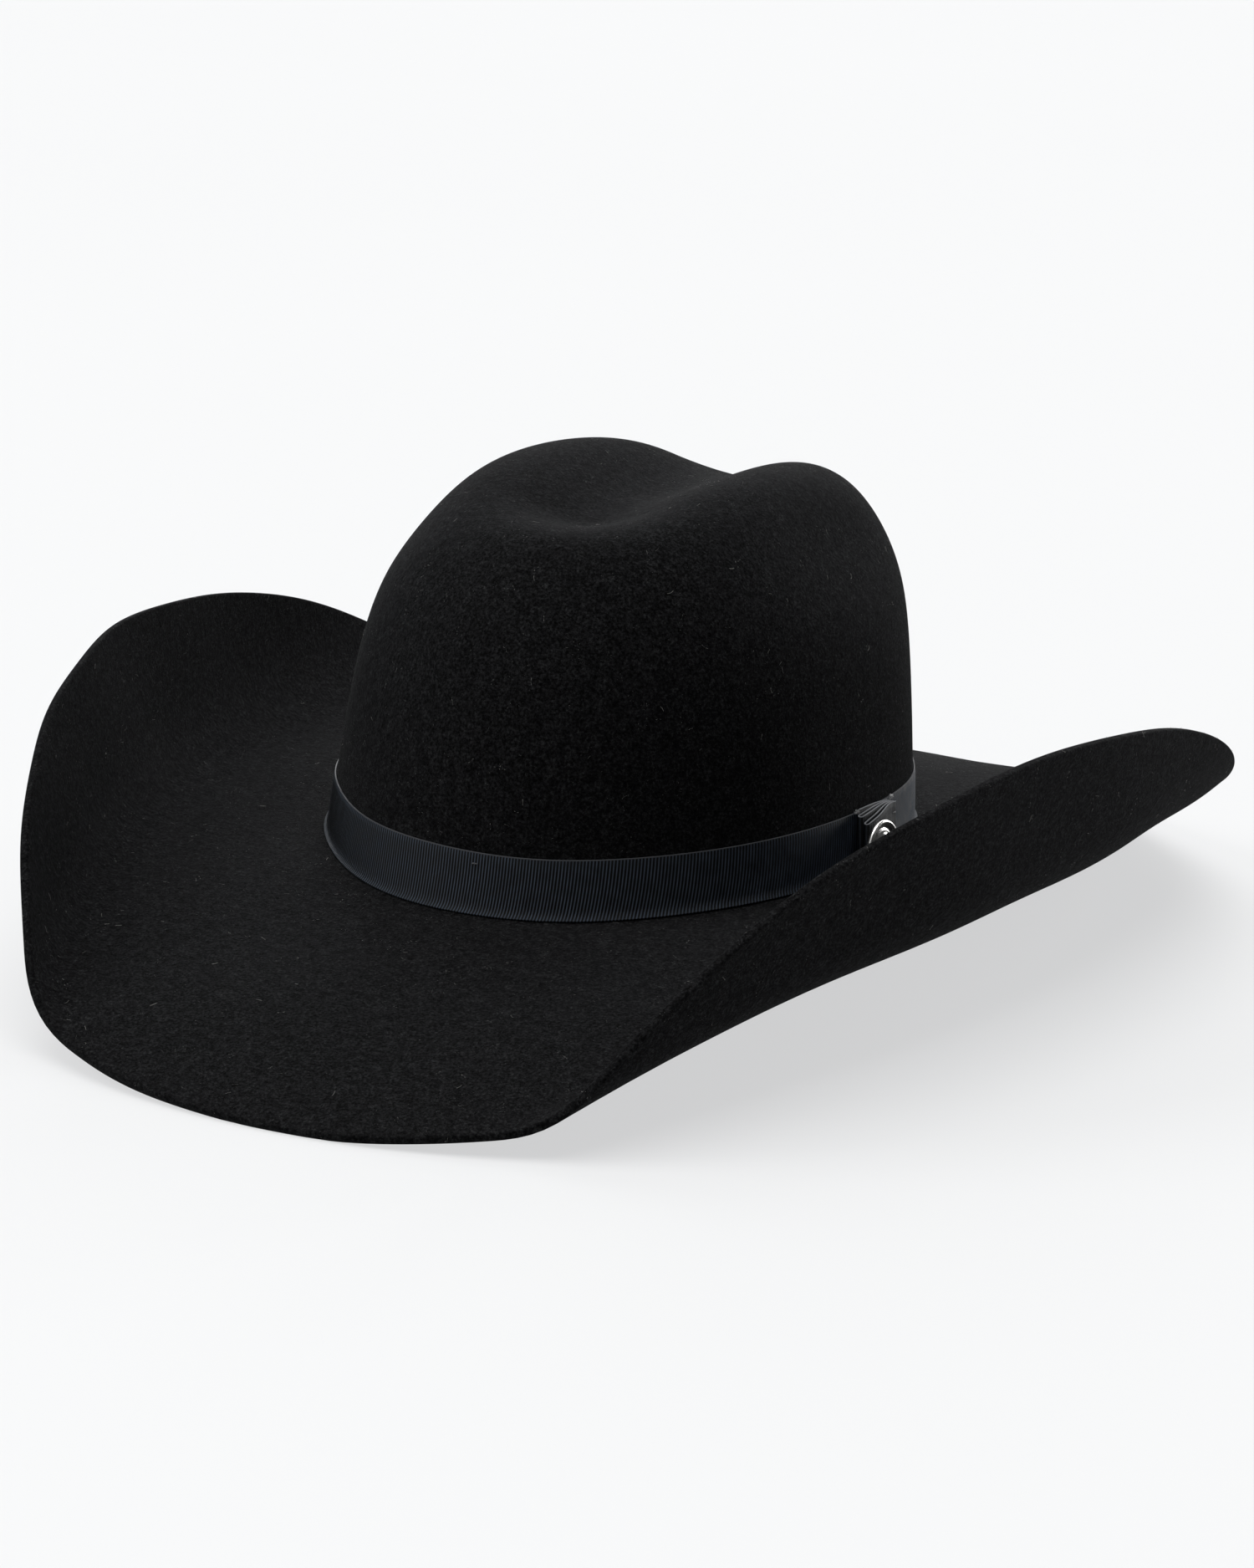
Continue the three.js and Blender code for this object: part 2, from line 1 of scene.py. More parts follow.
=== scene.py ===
# Cowboy hat in black felt: the looks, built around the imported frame.
#
# Every soft piece is made on a round, flat-brimmed hat blank, at an angle, a radius and a height, and
# shape_points() then blocks the blank to the hat's own shape, with the CAD model's own dimensions.
# The script works in millimetres and changes to metres where a mesh is made.

import json
import math

import bpy
import numpy as np
from mathutils import Matrix, Vector


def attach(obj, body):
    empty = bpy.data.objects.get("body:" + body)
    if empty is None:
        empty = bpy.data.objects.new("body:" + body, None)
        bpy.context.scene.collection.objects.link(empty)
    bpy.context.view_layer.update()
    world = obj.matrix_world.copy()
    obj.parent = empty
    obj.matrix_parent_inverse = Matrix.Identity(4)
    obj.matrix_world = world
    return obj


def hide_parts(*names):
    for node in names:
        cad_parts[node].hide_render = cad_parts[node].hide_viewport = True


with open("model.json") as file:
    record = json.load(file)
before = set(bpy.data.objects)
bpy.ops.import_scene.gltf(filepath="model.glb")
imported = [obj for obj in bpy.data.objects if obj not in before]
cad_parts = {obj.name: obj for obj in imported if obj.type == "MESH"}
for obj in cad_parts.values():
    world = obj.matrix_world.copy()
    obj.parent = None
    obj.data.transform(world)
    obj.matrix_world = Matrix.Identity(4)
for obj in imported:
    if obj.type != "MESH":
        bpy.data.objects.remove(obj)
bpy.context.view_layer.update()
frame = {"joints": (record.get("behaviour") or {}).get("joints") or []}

MM = 0.001
UPRIGHT = np.array([0, 0, 1.0])
rng = np.random.default_rng(11)

# ---- Driving dimensions of the blank and of the blocking, as in the CAD model ----
CROWN_HALF_WIDTH = 85.0
CROWN_HALF_LENGTH = 102.0
CROWN_HEIGHT = 114.4
FELT = 2.6
BREAK_FILLET = 3.0
BREAK_HEIGHT = 33.01
LENGTHWISE_SHIFT = -1.4
BRIM_SIDE = 104.7
BRIM_FRONT = 114.2
BRIM_BACK = 117.0
SHOULDER_FULLNESS = 5.2
SHOULDER_ROUNDING = 3.04
SIDE_TAPER = 0.158
END_TAPER = 0.062
TAPER_CURVE = 1.25
CROWN_LEAN = 13.6
CREASE_DEPTH = 15.4
CREASE_WIDTH = 25.9
CREASE_FRONT = -71.0
CREASE_BACK = 116.0
CREASE_RUN_OUT = 46.5
CREASE_START = 0.5
CREASE_FULL = 0.85
DENT_DEPTH = 5.8
DENT_HEIGHT = 92.0
DENT_SPREAD = 15.0
DENT_MIDDLE = 10.0
DENT_REACH = 44.0
DENT_EDGE = 40.0
ROLL_START = (120.1, 12.2, -45.2)
ROLL_ANGLE = (80.9, 13.2, 1.7)
ROLL_LENGTH = (48.2, 35.4, 12.2)
ROLL_SPAN = 204.0
SHORTEST_ROLL = 8.0
ROLL_STEPS = 16
FRONT_DIP = 31.5
BACK_DIP = 31.6
FRONT_DIP_CURVE = 2.96
BACK_DIP_CURVE = 3.13
BRIM_TURNS = 10.0
BLANK_RADIUS = (CROWN_HALF_WIDTH + CROWN_HALF_LENGTH) / 2
BLANK_BRIM = (BRIM_SIDE + (BRIM_FRONT + BRIM_BACK) / 2) / 2

# ---- Dimensions of the trim ----
RIBBON_TOP = 17.6
RIBBON_FOOT = math.radians(60)
RIBBON_GAP = 0.25
RIBBON_THICK = 0.42
RIB_PITCH = 1.03
RIB_HEIGHT = 0.17
RIB_LEAN = 1.4
SELVEDGE = 1.35
BOW_ANGLE = math.radians(-5.5)
BOW_FRONT = -9.0
BOW_BACK = 12.0
BOW_STEP = 1.6
BOW_BOTTOM = 3.6
BOW_TOP = RIBBON_TOP + 0.8
SWEATBAND_TOP = 50.0
LEATHER = 1.1
REED_RADIUS = 1.0
REED_DEPTH = 4.0
REED_HEIGHT = 0.3
STITCH_HEIGHT = 2.4
LINING_DEPTH = FELT + 1.1
LINING = 0.5
LINING_SEAM = 0.4
LINING_FOOT = 0.83

# ---- The camera: its place, turn, tilt, roll and lens, for a sensor 36 mm high ----
CAMERA_PLACE = Vector((581.033, -1165.048, 408.213)) * MM
CAMERA_AZIMUTH = math.radians(26.499)
CAMERA_DOWN = math.radians(15.651)
CAMERA_ROLL = math.radians(1.698)
CAMERA_LENS = 101.61


def add_object(name, data):
    made = bpy.data.objects.new(name, data)
    bpy.context.scene.collection.objects.link(made)
    return made


def add_camera():
    forward = Vector((
        -math.sin(CAMERA_AZIMUTH) * math.cos(CAMERA_DOWN),
        math.cos(CAMERA_AZIMUTH) * math.cos(CAMERA_DOWN),
        -math.sin(CAMERA_DOWN),
    ))
    level = Vector((math.cos(CAMERA_AZIMUTH), math.sin(CAMERA_AZIMUTH), 0))
    up = level.cross(forward)
    right = level * math.cos(CAMERA_ROLL) + up * math.sin(CAMERA_ROLL)
    data = bpy.data.cameras.new("camera")
    data.sensor_fit = "VERTICAL"
    data.sensor_height = 36
    data.lens = CAMERA_LENS
    data.clip_start = 0.01
    data.clip_end = 100
    camera = add_object("camera", data)
    columns = (right, right.cross(forward), -forward)
    camera.matrix_world = Matrix.Translation(CAMERA_PLACE) @ Matrix(columns).transposed().to_4x4()
    bpy.context.scene.camera = camera


# ---- Blocking: from the round blank to the hat's own shape ----
def smooth(x):
    x = np.clip(x, 0, 1)
    return x * x * (3 - 2 * x)


def bell(x):
    return np.exp(-x * x)


def quadratic(terms, q):
    return terms[0] + terms[1] * q + terms[2] * q * q


def brim_face(flat_x, flat_y):
    """The brim's upper face over a point of its flat outline, and how far the brim dips there."""
    q = flat_y / ROLL_SPAN
    start = quadratic(ROLL_START, q)
    angle = np.radians(quadratic(ROLL_ANGLE, q))
    length = np.maximum(quadratic(ROLL_LENGTH, q), SHORTEST_ROLL)
    beyond = np.maximum(np.abs(flat_x) - start, 0)
    steps = (np.arange(ROLL_STEPS) + 0.5) / ROLL_STEPS
    lift = angle[..., None] * smooth(beyond[..., None] * steps / length[..., None])
    reach = np.cos(lift).mean(-1) * beyond
    rise = np.sin(lift).mean(-1) * beyond
    to_front = np.clip(-flat_y / (CROWN_HALF_LENGTH + BRIM_FRONT), 0, 2)
    to_back = np.clip(flat_y / (CROWN_HALF_LENGTH + BRIM_BACK), 0, 2)
    dip = FRONT_DIP * to_front**FRONT_DIP_CURVE + BACK_DIP * to_back**BACK_DIP_CURVE
    x = np.sign(flat_x) * (np.minimum(np.abs(flat_x), start) + reach)
    return np.stack([x, flat_y, BREAK_HEIGHT + rise - dip], -1), dip


def brim_normal(flat_x, flat_y):
    """The brim's normal, from its slopes over a short step."""
    step = 0.5
    along_x = brim_face(flat_x + step, flat_y)[0] - brim_face(flat_x - step, flat_y)[0]
    along_y = brim_face(flat_x, flat_y + step)[0] - brim_face(flat_x, flat_y - step)[0]
    normal = np.cross(along_x, along_y)
    return normal / np.linalg.norm(normal, axis=-1, keepdims=True)


# Felt that was steamed and shaped by hand is never quite even: a few long, low waves move all of it.
WAVE_COUNT = 9
WAVE_HEIGHT = 0.16
WAVE_LENGTH = (55, 130)
waves = [(rng.normal(size=3), rng.uniform(0, math.tau), rng.normal(size=3)) for _ in range(WAVE_COUNT)]
wave_lengths = rng.uniform(*WAVE_LENGTH, size=WAVE_COUNT)


def hand_shaped(points):
    moved = points.copy()
    for (direction, phase, push), length in zip(waves, wave_lengths):
        direction = direction / np.linalg.norm(direction)
        wave = np.sin(points @ direction * math.tau / length + phase)
        moved += WAVE_HEIGHT * wave[..., None] * push
    return moved


def shape_points(a, r, h):
    """Where points of the blank, at angle a, radius r and height h, lie on the finished hat."""
    a, r, h = np.broadcast_arrays(np.asarray(a, float), np.asarray(r, float), np.asarray(h, float))
    inward = np.minimum(r / BLANK_RADIUS, 1)
    on_brim = np.maximum(r - BLANK_RADIUS, 0) / BLANK_BRIM
    end_width = BRIM_BACK + (BRIM_FRONT - BRIM_BACK) * (1 - np.sin(a)) / 2
    flat_x = np.cos(a) * (CROWN_HALF_WIDTH * inward + BRIM_SIDE * on_brim)
    flat_y = np.sin(a) * (CROWN_HALF_LENGTH * inward + end_width * on_brim)
    point, dip = brim_face(flat_x, flat_y)
    past_fillet = np.clip((r - BLANK_RADIUS - BREAK_FILLET) / BRIM_TURNS, 0, 1)[..., None]
    up = UPRIGHT * (1 - past_fillet) + brim_normal(flat_x, flat_y) * past_fillet
    point = point + up / np.linalg.norm(up, axis=-1, keepdims=True) * h[..., None]

    rise = np.clip(h / CROWN_HEIGHT, 0, 1)
    x = point[..., 0] * (1 - SIDE_TAPER * rise**TAPER_CURVE)
    y = point[..., 1] * (1 - END_TAPER * rise**TAPER_CURVE) + CROWN_LEAN * rise
    z = point[..., 2] + dip * rise
    run = smooth((y - CREASE_FRONT) / CREASE_RUN_OUT) * smooth((CREASE_BACK - y) / CREASE_RUN_OUT)
    near_top = smooth((rise - CREASE_START) / (CREASE_FULL - CREASE_START))
    crease = CREASE_DEPTH * bell(x / CREASE_WIDTH) * run * near_top
    dent = bell((h - DENT_HEIGHT) / DENT_SPREAD) * bell((y - DENT_MIDDLE) / DENT_REACH)
    x = x - DENT_DEPTH * dent * smooth(np.abs(x) / DENT_EDGE) * np.sign(x)
    shaped = hand_shaped(np.stack([x, y + LENGTHWISE_SHIFT, z - crease], -1))
    shaped[..., 2] = np.maximum(shaped[..., 2], 0)
    return shaped


def profile_run(profile):
    """Distances along the points of an outline, from its first one."""
    return np.concatenate([[0], np.cumsum(np.hypot(*np.diff(profile, axis=0).T))])


OUTLINE_STEPS = 2000


def crown_outline(inset, start, end, count):
    """Points (radius, height) of the crown's upright outline between two shares of its length."""
    foot = math.acos((BREAK_FILLET / CROWN_HEIGHT) ** (SHOULDER_FULLNESS / 2))
    angle = np.linspace(0, foot, OUTLINE_STEPS)
    r = np.sin(angle) ** (2 / SHOULDER_ROUNDING) * (BLANK_RADIUS - inset)
    h = np.cos(angle) ** (2 / SHOULDER_FULLNESS) * (CROWN_HEIGHT - inset)
    run = profile_run(np.stack([r, h], -1))
    at = np.linspace(start, end, count) * run[-1]
    return np.stack([np.interp(at, run, r), np.interp(at, run, h)], -1)


def fillet_outline(depth, count):
    """The corner between crown and brim, at a depth under the upper face, from the wall outwards."""
    angle = np.linspace(0, math.pi / 2, count)
    radius = BREAK_FILLET + depth
    r = BLANK_RADIUS + BREAK_FILLET - radius * np.cos(angle)
    return np.stack([r, BREAK_FILLET - radius * np.sin(angle)], -1)


# ---- Meshes ----
SAME_POINT = 1e-6


def link(name, verts, faces, uvs=None):
    mesh = bpy.data.meshes.new(name)
    mesh.from_pydata((np.asarray(verts) * MM).tolist(), [], faces)
    if uvs is not None:
        layer = mesh.uv_layers.new(name="UVMap")
        layer.data.foreach_set("uv", np.asarray(uvs, np.float32).ravel())
    if signed_volume(mesh) < 0:
        mesh.flip_normals()
    mesh.polygons.foreach_set("use_smooth", [True] * len(mesh.polygons))
    mesh.update()
    return add_object(name, mesh)


def signed_volume(mesh):
    mesh.calc_loop_triangles()
    co = np.empty(len(mesh.vertices) * 3, np.float32)
    mesh.vertices.foreach_get("co", co)
    tri = np.empty(len(mesh.loop_triangles) * 3, np.int32)
    mesh.loop_triangles.foreach_get("vertices", tri)
    a, b, c = co.reshape(-1, 3)[tri.reshape(-1, 3)].transpose(1, 0, 2).astype(float)
    return float(np.einsum("ij,ij->i", a, np.cross(b, c)).sum())


def turns(count):
    """Angles once round, in equal steps."""
    return np.arange(count) * math.tau / count


def round_uv(count, radius=BLANK_RADIUS):
    """Places once round the blank or another circle, in metres, for a UV map."""
    return np.append(turns(count), math.tau) * radius * MM


def quads(rows, cols, close_rows, close_cols):
    """Corner indices (row, column) of a grid's faces, not yet wrapped round."""
    i = np.arange(rows if close_rows else rows - 1)
    j = np.arange(cols if close_cols else cols - 1)
    i, j = (k.ravel() for k in np.meshgrid(i, j, indexing="ij"))
    return np.stack([i, i, i + 1, i + 1], -1), np.stack([j, j + 1, j + 1, j], -1)


def grid_piece(name, grid, close_rows, u, v):
    """A grid that closes round the hat. Rows that are a single point become one vertex, as a pole."""
    rows, cols = grid.shape[:2]
    row, col = quads(rows, cols, close_rows, True)
    uvs = np.stack([u[col], v[row]], -1)
    index = (row % rows) * cols + col % cols
    flat = grid.reshape(-1, 3)
    for pole in (0, rows - 1):
        if np.ptp(grid[pole], axis=0).max() < SAME_POINT:
            index[(index >= pole * cols) & (index < (pole + 1) * cols)] = pole * cols
    used, index = np.unique(index, return_inverse=True)
    faces, kept = [], []
    for face, uv in zip(index.reshape(-1, 4).tolist(), uvs.tolist()):
        keep = [k for k in range(4) if face[k] not in face[:k]]
        faces.append([face[k] for k in keep])
        kept.extend(uv[k] for k in keep)
    return link(name, flat[used], faces, kept)


def slab_piece(name, front, back, u, v, close_cols=False):
    """A closed sheet between two grids of the same size: its faces, its two long edges and its ends."""
    rows, cols = front.shape[:2]
    row, col = quads(rows, cols, False, close_cols)
    face, uv = row * cols + col % cols, np.stack([u[col], v[row]], -1)
    faces, uvs = [face, (face + rows * cols)[:, ::-1]], [uv, uv[:, ::-1]]
    along, across = np.arange(cols + close_cols), np.arange(rows)
    edges = [(0 * along, along, -1), (0 * along + rows - 1, along, 1)]
    if not close_cols:
        edges += [(across, 0 * across, 1), (across, 0 * across + cols - 1, -1)]
    for row, col, order in edges:
        line, uv = row * cols + col % cols, np.stack([u[col], v[row]], -1)
        a, b = line[:-1], line[1:]
        faces.append(np.stack([a, b, b + rows * cols, a + rows * cols], -1)[:, ::order])
        uvs.append(np.stack([uv[:-1], uv[1:], uv[1:], uv[:-1]], 1)[:, ::order])
    verts = np.concatenate([front.reshape(-1, 3), back.reshape(-1, 3)])
    return link(name, verts, np.concatenate(faces).tolist(), np.concatenate(uvs).reshape(-1, 2))


def tube_rings(path, radius, sides, up):
    """Rings of a tube along the points of a path."""
    ahead = np.gradient(path, axis=0)
    ahead /= np.linalg.norm(ahead, axis=-1, keepdims=True)
    first = np.cross(ahead, up)
    first /= np.linalg.norm(first, axis=-1, keepdims=True)
    second = np.cross(first, ahead)
    turn = turns(sides)
    around = np.cos(turn)[:, None] * first[:, None] + np.sin(turn)[:, None] * second[:, None]
    return path[:, None] + radius * around


def tube_faces(rings, sides, offset):
    """Faces of a tube with closed ends, whose vertices start at an offset."""
    faces = []
    for i in range(rings - 1):
        for j in range(sides):
            a, b = offset + i * sides + j, offset + i * sides + (j + 1) % sides
            faces.append((a, b, b + sides, a + sides))
    faces.append(tuple(offset + j for j in reversed(range(sides))))
    faces.append(tuple(offset + (rings - 1) * sides + j for j in range(sides)))
    return faces


def tubes_piece(name, paths, radius, sides, ups):
    """Many short tubes as one piece, such as stitches or fibres."""
    verts, faces, count = [], [], 0
    for path, up in zip(paths, ups):
        rings = tube_rings(path, radius, sides, up).reshape(-1, 3)
        faces += tube_faces(len(path), sides, count)
        verts.append(rings)
        count += len(rings)
    return link(name, np.concatenate(verts), faces)


# ---- Materials ----
FLOOR_GLOW = 0.62
EDGE_HIGHLIGHT_WIDTH = 0.28  # width of the painted highlight along the ribbon's upper edge
WAVE_RATE = 20  # radians that a wave texture turns through over one unit


class Paint:
    """A Principled material and short ways to add nodes to it. Texture sizes are in millimetres."""

    def __init__(self, name, roughness, metallic=0.0, **constants):
        self.material = bpy.data.materials.new(name)
        self.material.use_nodes = True
        self.nodes = self.material.node_tree.nodes
        self.links = self.material.node_tree.links
        self.shader = self.nodes["Principled BSDF"]
        self.shader.inputs["Roughness"].default_value = roughness
        self.shader.inputs["Metallic"].default_value = metallic
        for socket, value in constants.items():
            self.shader.inputs[socket.replace("_", " ")].default_value = value
        self.coordinates = self.nodes.new("ShaderNodeTexCoord")
        self.height = None

    def mapping(self, source, scale):
        node = self.nodes.new("ShaderNodeMapping")
        node.inputs["Scale"].default_value = scale
        self.links.new(self.coordinates.outputs[source], node.inputs["Vector"])
        return node.outputs["Vector"]

    def noise(self, size, detail=2.0, stretch=(1, 1, 1), rough=0.5):
        noise = self.nodes.new("ShaderNodeTexNoise")
        noise.inputs["Scale"].default_value = 1.0
        noise.inputs["Detail"].default_value = detail
        noise.inputs["Roughness"].default_value = rough
        place = self.mapping("Object", [1 / (size * MM * s) for s in stretch])
        self.links.new(place, noise.inputs["Vector"])
        return noise.outputs["Fac"]

    def cells(self, size):
        cells = self.nodes.new("ShaderNodeTexVoronoi")
        cells.inputs["Scale"].default_value = 1.0
        self.links.new(self.mapping("Object", [1 / (size * MM)] * 3), cells.inputs["Vector"])
        return cells.outputs["Distance"]

    def bands(self, size, direction, distortion=0.0):
        """Bands whose pitch is a size in millimetres, along one way of the UV map."""
        wave = self.nodes.new("ShaderNodeTexWave")
        wave.bands_direction = direction
        wave.inputs["Scale"].default_value = 1.0
        wave.inputs["Distortion"].default_value = distortion
        place = self.mapping("UV", [math.tau / (WAVE_RATE * size * MM)] * 3)
        self.links.new(place, wave.inputs["Vector"])
        return wave.outputs["Fac"]

    def ramp(self, factor, stops):
        node = self.nodes.new("ShaderNodeValToRGB")
        ramp = node.color_ramp
        while len(ramp.elements) < len(stops):
            ramp.elements.new(0.5)
        for element, (place, value) in zip(ramp.elements, stops):
            element.position = place
            element.color = (*value, 1) if isinstance(value, tuple) else (value, value, value, 1)
        self.links.new(factor, node.inputs["Fac"])
        return node.outputs["Color"]

    def mix(self, factor, a, b, mode="MIX"):
        node = self.nodes.new("ShaderNodeMix")
        node.data_type = "RGBA"
        node.blend_type = mode
        for socket, value in ((0, factor), (6, a), (7, b)):
            if isinstance(value, (int, float)):
                node.inputs[socket].default_value = value
            elif isinstance(value, tuple):
                node.inputs[socket].default_value = (*value, 1)
            else:
                self.links.new(value, node.inputs[socket])
        return node.outputs[2]

    def color(self, output):
        self.links.new(output, self.shader.inputs["Base Color"])

    def rough(self, output):
        self.links.new(output, self.shader.inputs["Roughness"])

    def bump(self, output, depth, strength=1.0):
        """Adds relief of a depth in millimetres, on top of what the material has already."""
        node = self.nodes.new("ShaderNodeBump")
        node.inputs["Distance"].default_value = depth * MM
        node.inputs["Strength"].default_value = strength
        self.links.new(output, node.inputs["Height"])
        if self.height is not None:
            self.links.new(self.height, node.inputs["Normal"])
        self.height = node.outputs["Normal"]
        self.links.new(self.height, self.shader.inputs["Normal"])


def felt_paint():
    paint = Paint("black_felt", 0.95, Sheen_Weight=0.022, Sheen_Roughness=0.32, Specular_IOR_Level=0.02)
    paint.shader.inputs["Sheen Tint"].default_value = (0.85, 0.88, 0.92, 1)
    grain = paint.noise(0.85, 5, rough=0.8)
    clumps = paint.noise(2.6, 4, rough=0.65)
    body = paint.ramp(grain, [
        (0.37, (0.0011, 0.0011, 0.0012)),
        (0.5, (0.0056, 0.0057, 0.006)),
        (0.64, (0.018, 0.0184, 0.019)),
    ])
    worn = paint.ramp(clumps, [(0.35, 0.6), (0.65, 1.4)])
    paint.color(paint.mix(1.0, body, worn, "MULTIPLY"))
    paint.bump(clumps, 0.6, 1.0)
    paint.bump(grain, 0.5, 1.0)
    return paint.material


def fibre_paint():
    paint = Paint("felt_fibres", 0.8, Specular_IOR_Level=0.2)
    tone = paint.noise(9, 1)
    paint.color(paint.ramp(tone, [(0.4, (0.03, 0.03, 0.032)), (0.7, (0.4, 0.39, 0.37))]))
    return paint.material


def grosgrain_paint(name, edge, shade):
    """Ribbed ribbon with painted light: a painted highlight along its upper edge, painted shade in the
    rib grooves with painted highlights on the crests, and painted shade over the whole ribbon by the
    shade factor.
    """
    paint = Paint(name, 0.5, Sheen_Weight=0.01, Sheen_Roughness=0.3, Specular_IOR_Level=0.13)
    threads = paint.bands(0.16, "Y", distortion=0.6)
    ribs = paint.bands(RIB_PITCH, "X")
    uneven = paint.noise(3.5, 2)
    tone = paint.ramp(threads, [(0.2, (0.0045, 0.0062, 0.0088)), (0.8, (0.013, 0.017, 0.0235))])
    # random patches, multiplied by the painted shade factor
    patchy_and_shade = paint.ramp(uneven, [(0.3, 0.7 * shade), (0.7, 1.25 * shade)])
    body = paint.mix(1.0, tone, patchy_and_shade, "MULTIPLY")
    # painted shade in the rib grooves and painted highlight on the rib crests, at the ribs' pitch
    rib_shaded_body = paint.mix(1.0, body, paint.ramp(ribs, [(0.4, 0.02), (0.9, 3.6)]), "MULTIPLY")
    # mask of the painted highlight along the upper edge, filled with the edge colour
    place = paint.nodes.new("ShaderNodeSeparateXYZ")
    paint.links.new(paint.mapping("UV", [1 / (EDGE_HIGHLIGHT_WIDTH * MM)] * 3), place.inputs[0])
    top_edge = paint.ramp(place.outputs["Y"], [(0.4, 1.0), (1.0, 0.0)])
    paint.color(paint.mix(top_edge, rib_shaded_body, edge))
    paint.rough(paint.ramp(uneven, [(0.3, 0.48), (0.7, 0.65)]))
    paint.bump(threads, 0.03)
    return paint.material


def metal_paint():
    paint = Paint("polished_steel", 0.3, 1.0)
    clouds = paint.noise(4, 3)
    scratches = paint.noise(0.4, 2, stretch=(1, 9, 1))
    paint.color(paint.ramp(clouds, [(0.3, (0.72, 0.71, 0.69)), (0.7, (0.92, 0.91, 0.88))]))
    paint.rough(paint.ramp(clouds, [(0.3, 0.24), (0.7, 0.38)]))
    paint.bump(scratches, 0.004)
    return paint.material


def leather_paint():
    paint = Paint("dark_leather", 0.5, Specular_IOR_Level=0.4, Coat_Weight=0.05)
    pores = paint.cells(0.7)
    folds = paint.noise(6, 3)
    tone = paint.ramp(folds, [(0.3, (0.018, 0.011, 0.007)), (0.7, (0.034, 0.021, 0.013))])
    paint.color(paint.mix(1.0, tone, paint.ramp(pores, [(0.0, 0.7), (0.5, 1.1)]), "MULTIPLY"))
    paint.rough(paint.ramp(folds, [(0.3, 0.42), (0.7, 0.58)]))
    paint.bump(folds, 0.08)
    paint.bump(pores, 0.07, 0.8)
    return paint.material


def satin_paint():
    paint = Paint("satin", 0.33, Sheen_Weight=0.3, Sheen_Roughness=0.25, Anisotropic=0.5)
    weave = paint.bands(0.22, "X", distortion=0.4)
    folds = paint.noise(14, 2)
    tone = paint.ramp(folds, [(0.3, (0.012, 0.014, 0.021)), (0.7, (0.024, 0.027, 0.038))])
    paint.color(paint.mix(1.0, tone, paint.ramp(weave, [(0.0, 0.85), (1.0, 1.1)]), "MULTIPLY"))
    paint.rough(paint.ramp(folds, [(0.3, 0.28), (0.7, 0.4)]))
    paint.bump(folds, 0.25, 0.7)
    paint.bump(weave, 0.02)
    return paint.material


def thread_paint(name, dark, light):
    paint = Paint(name, 0.75, Sheen_Weight=0.3, Sheen_Roughness=0.4)
    twist = paint.noise(0.25, 1)
    paint.color(paint.ramp(twist, [(0.35, dark), (0.65, light)]))
    paint.bump(twist, 0.06)
    return paint.material


def reed_paint():
    paint = Paint("reed_plastic", 0.42, Subsurface_Weight=0.05)
    streaks = paint.noise(2.5, 2)
    paint.color(paint.ramp(streaks, [(0.3, (0.6, 0.58, 0.53)), (0.7, (0.7, 0.68, 0.62))]))
    paint.bump(streaks, 0.03)
    return paint.material


def card_paint():
    paint = Paint("card", 0.85)
    fibre = paint.noise(0.5, 3)
    stain = paint.noise(7, 2)
    tone = paint.ramp(fibre, [(0.3, (0.52, 0.48, 0.4)), (0.7, (0.68, 0.64, 0.55))])
    paint.color(paint.mix(1.0, tone, paint.ramp(stain, [(0.3, 0.88), (0.7, 1.0)]), "MULTIPLY"))
    paint.bump(fibre, 0.05)
    return paint.material


def floor_paint():
    """Pale paper that gives off light itself, so that no shadow on it is dark."""
    paint = Paint("floor_paper", 0.9, Specular_IOR_Level=0.0)
    mottle = paint.noise(900, 2)
    paint.color(paint.ramp(mottle, [(0.3, (0.186, 0.188, 0.188)), (0.7, (0.19, 0.192, 0.192))]))
    paint.shader.inputs["Emission Color"].default_value = (0.985, 0.99, 1.0, 1)
    paint.shader.inputs["Emission Strength"].default_value = FLOOR_GLOW
    return paint.material


paints = {
    "black_felt": felt_paint(),
    "felt_fibres": fibre_paint(),
    # Painted light in each grosgrain: the colour is the painted highlight on the upper edge and the
    # number a painted shade factor; the bow's ribbon is a copy with more painted shade and a brighter
    # painted edge highlight.
    "grosgrain": grosgrain_paint("grosgrain", (0.034, 0.036, 0.04), 0.95),
    "bow_grosgrain_painted_light": grosgrain_paint("bow_grosgrain_painted_light", (0.13, 0.135, 0.145), 0.35),
    "polished_steel": metal_paint(),
    "dark_leather": leather_paint(),
    "satin": satin_paint(),
    "cotton_thread": thread_paint("cotton_thread", (0.012, 0.012, 0.014), (0.05, 0.05, 0.055)),
    "loose_thread": thread_paint("loose_thread", (0.16, 0.165, 0.17), (0.6, 0.6, 0.6)),
    "reed_plastic": reed_paint(),
    "card": card_paint(),
}


def finish_piece(piece, slot, *nodes, body="hat", paint=None):
    """The material, the body and the hidden CAD nodes of a new piece; the slot picks the material only
    when no paint is given.
    """
    piece.data.materials.clear()
    piece.data.materials.append(paints[paint or slot])
    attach(piece, body)
    if nodes:
        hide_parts(*nodes)


# ---- The felt ----
FELT_AROUND = 360
EDGE_ROUNDING = 0.7
CROWN_ROWS = 90
CROWN_INSIDE_ROWS = 70
BRIM_ROWS = 70
FILLET_ROWS = 8


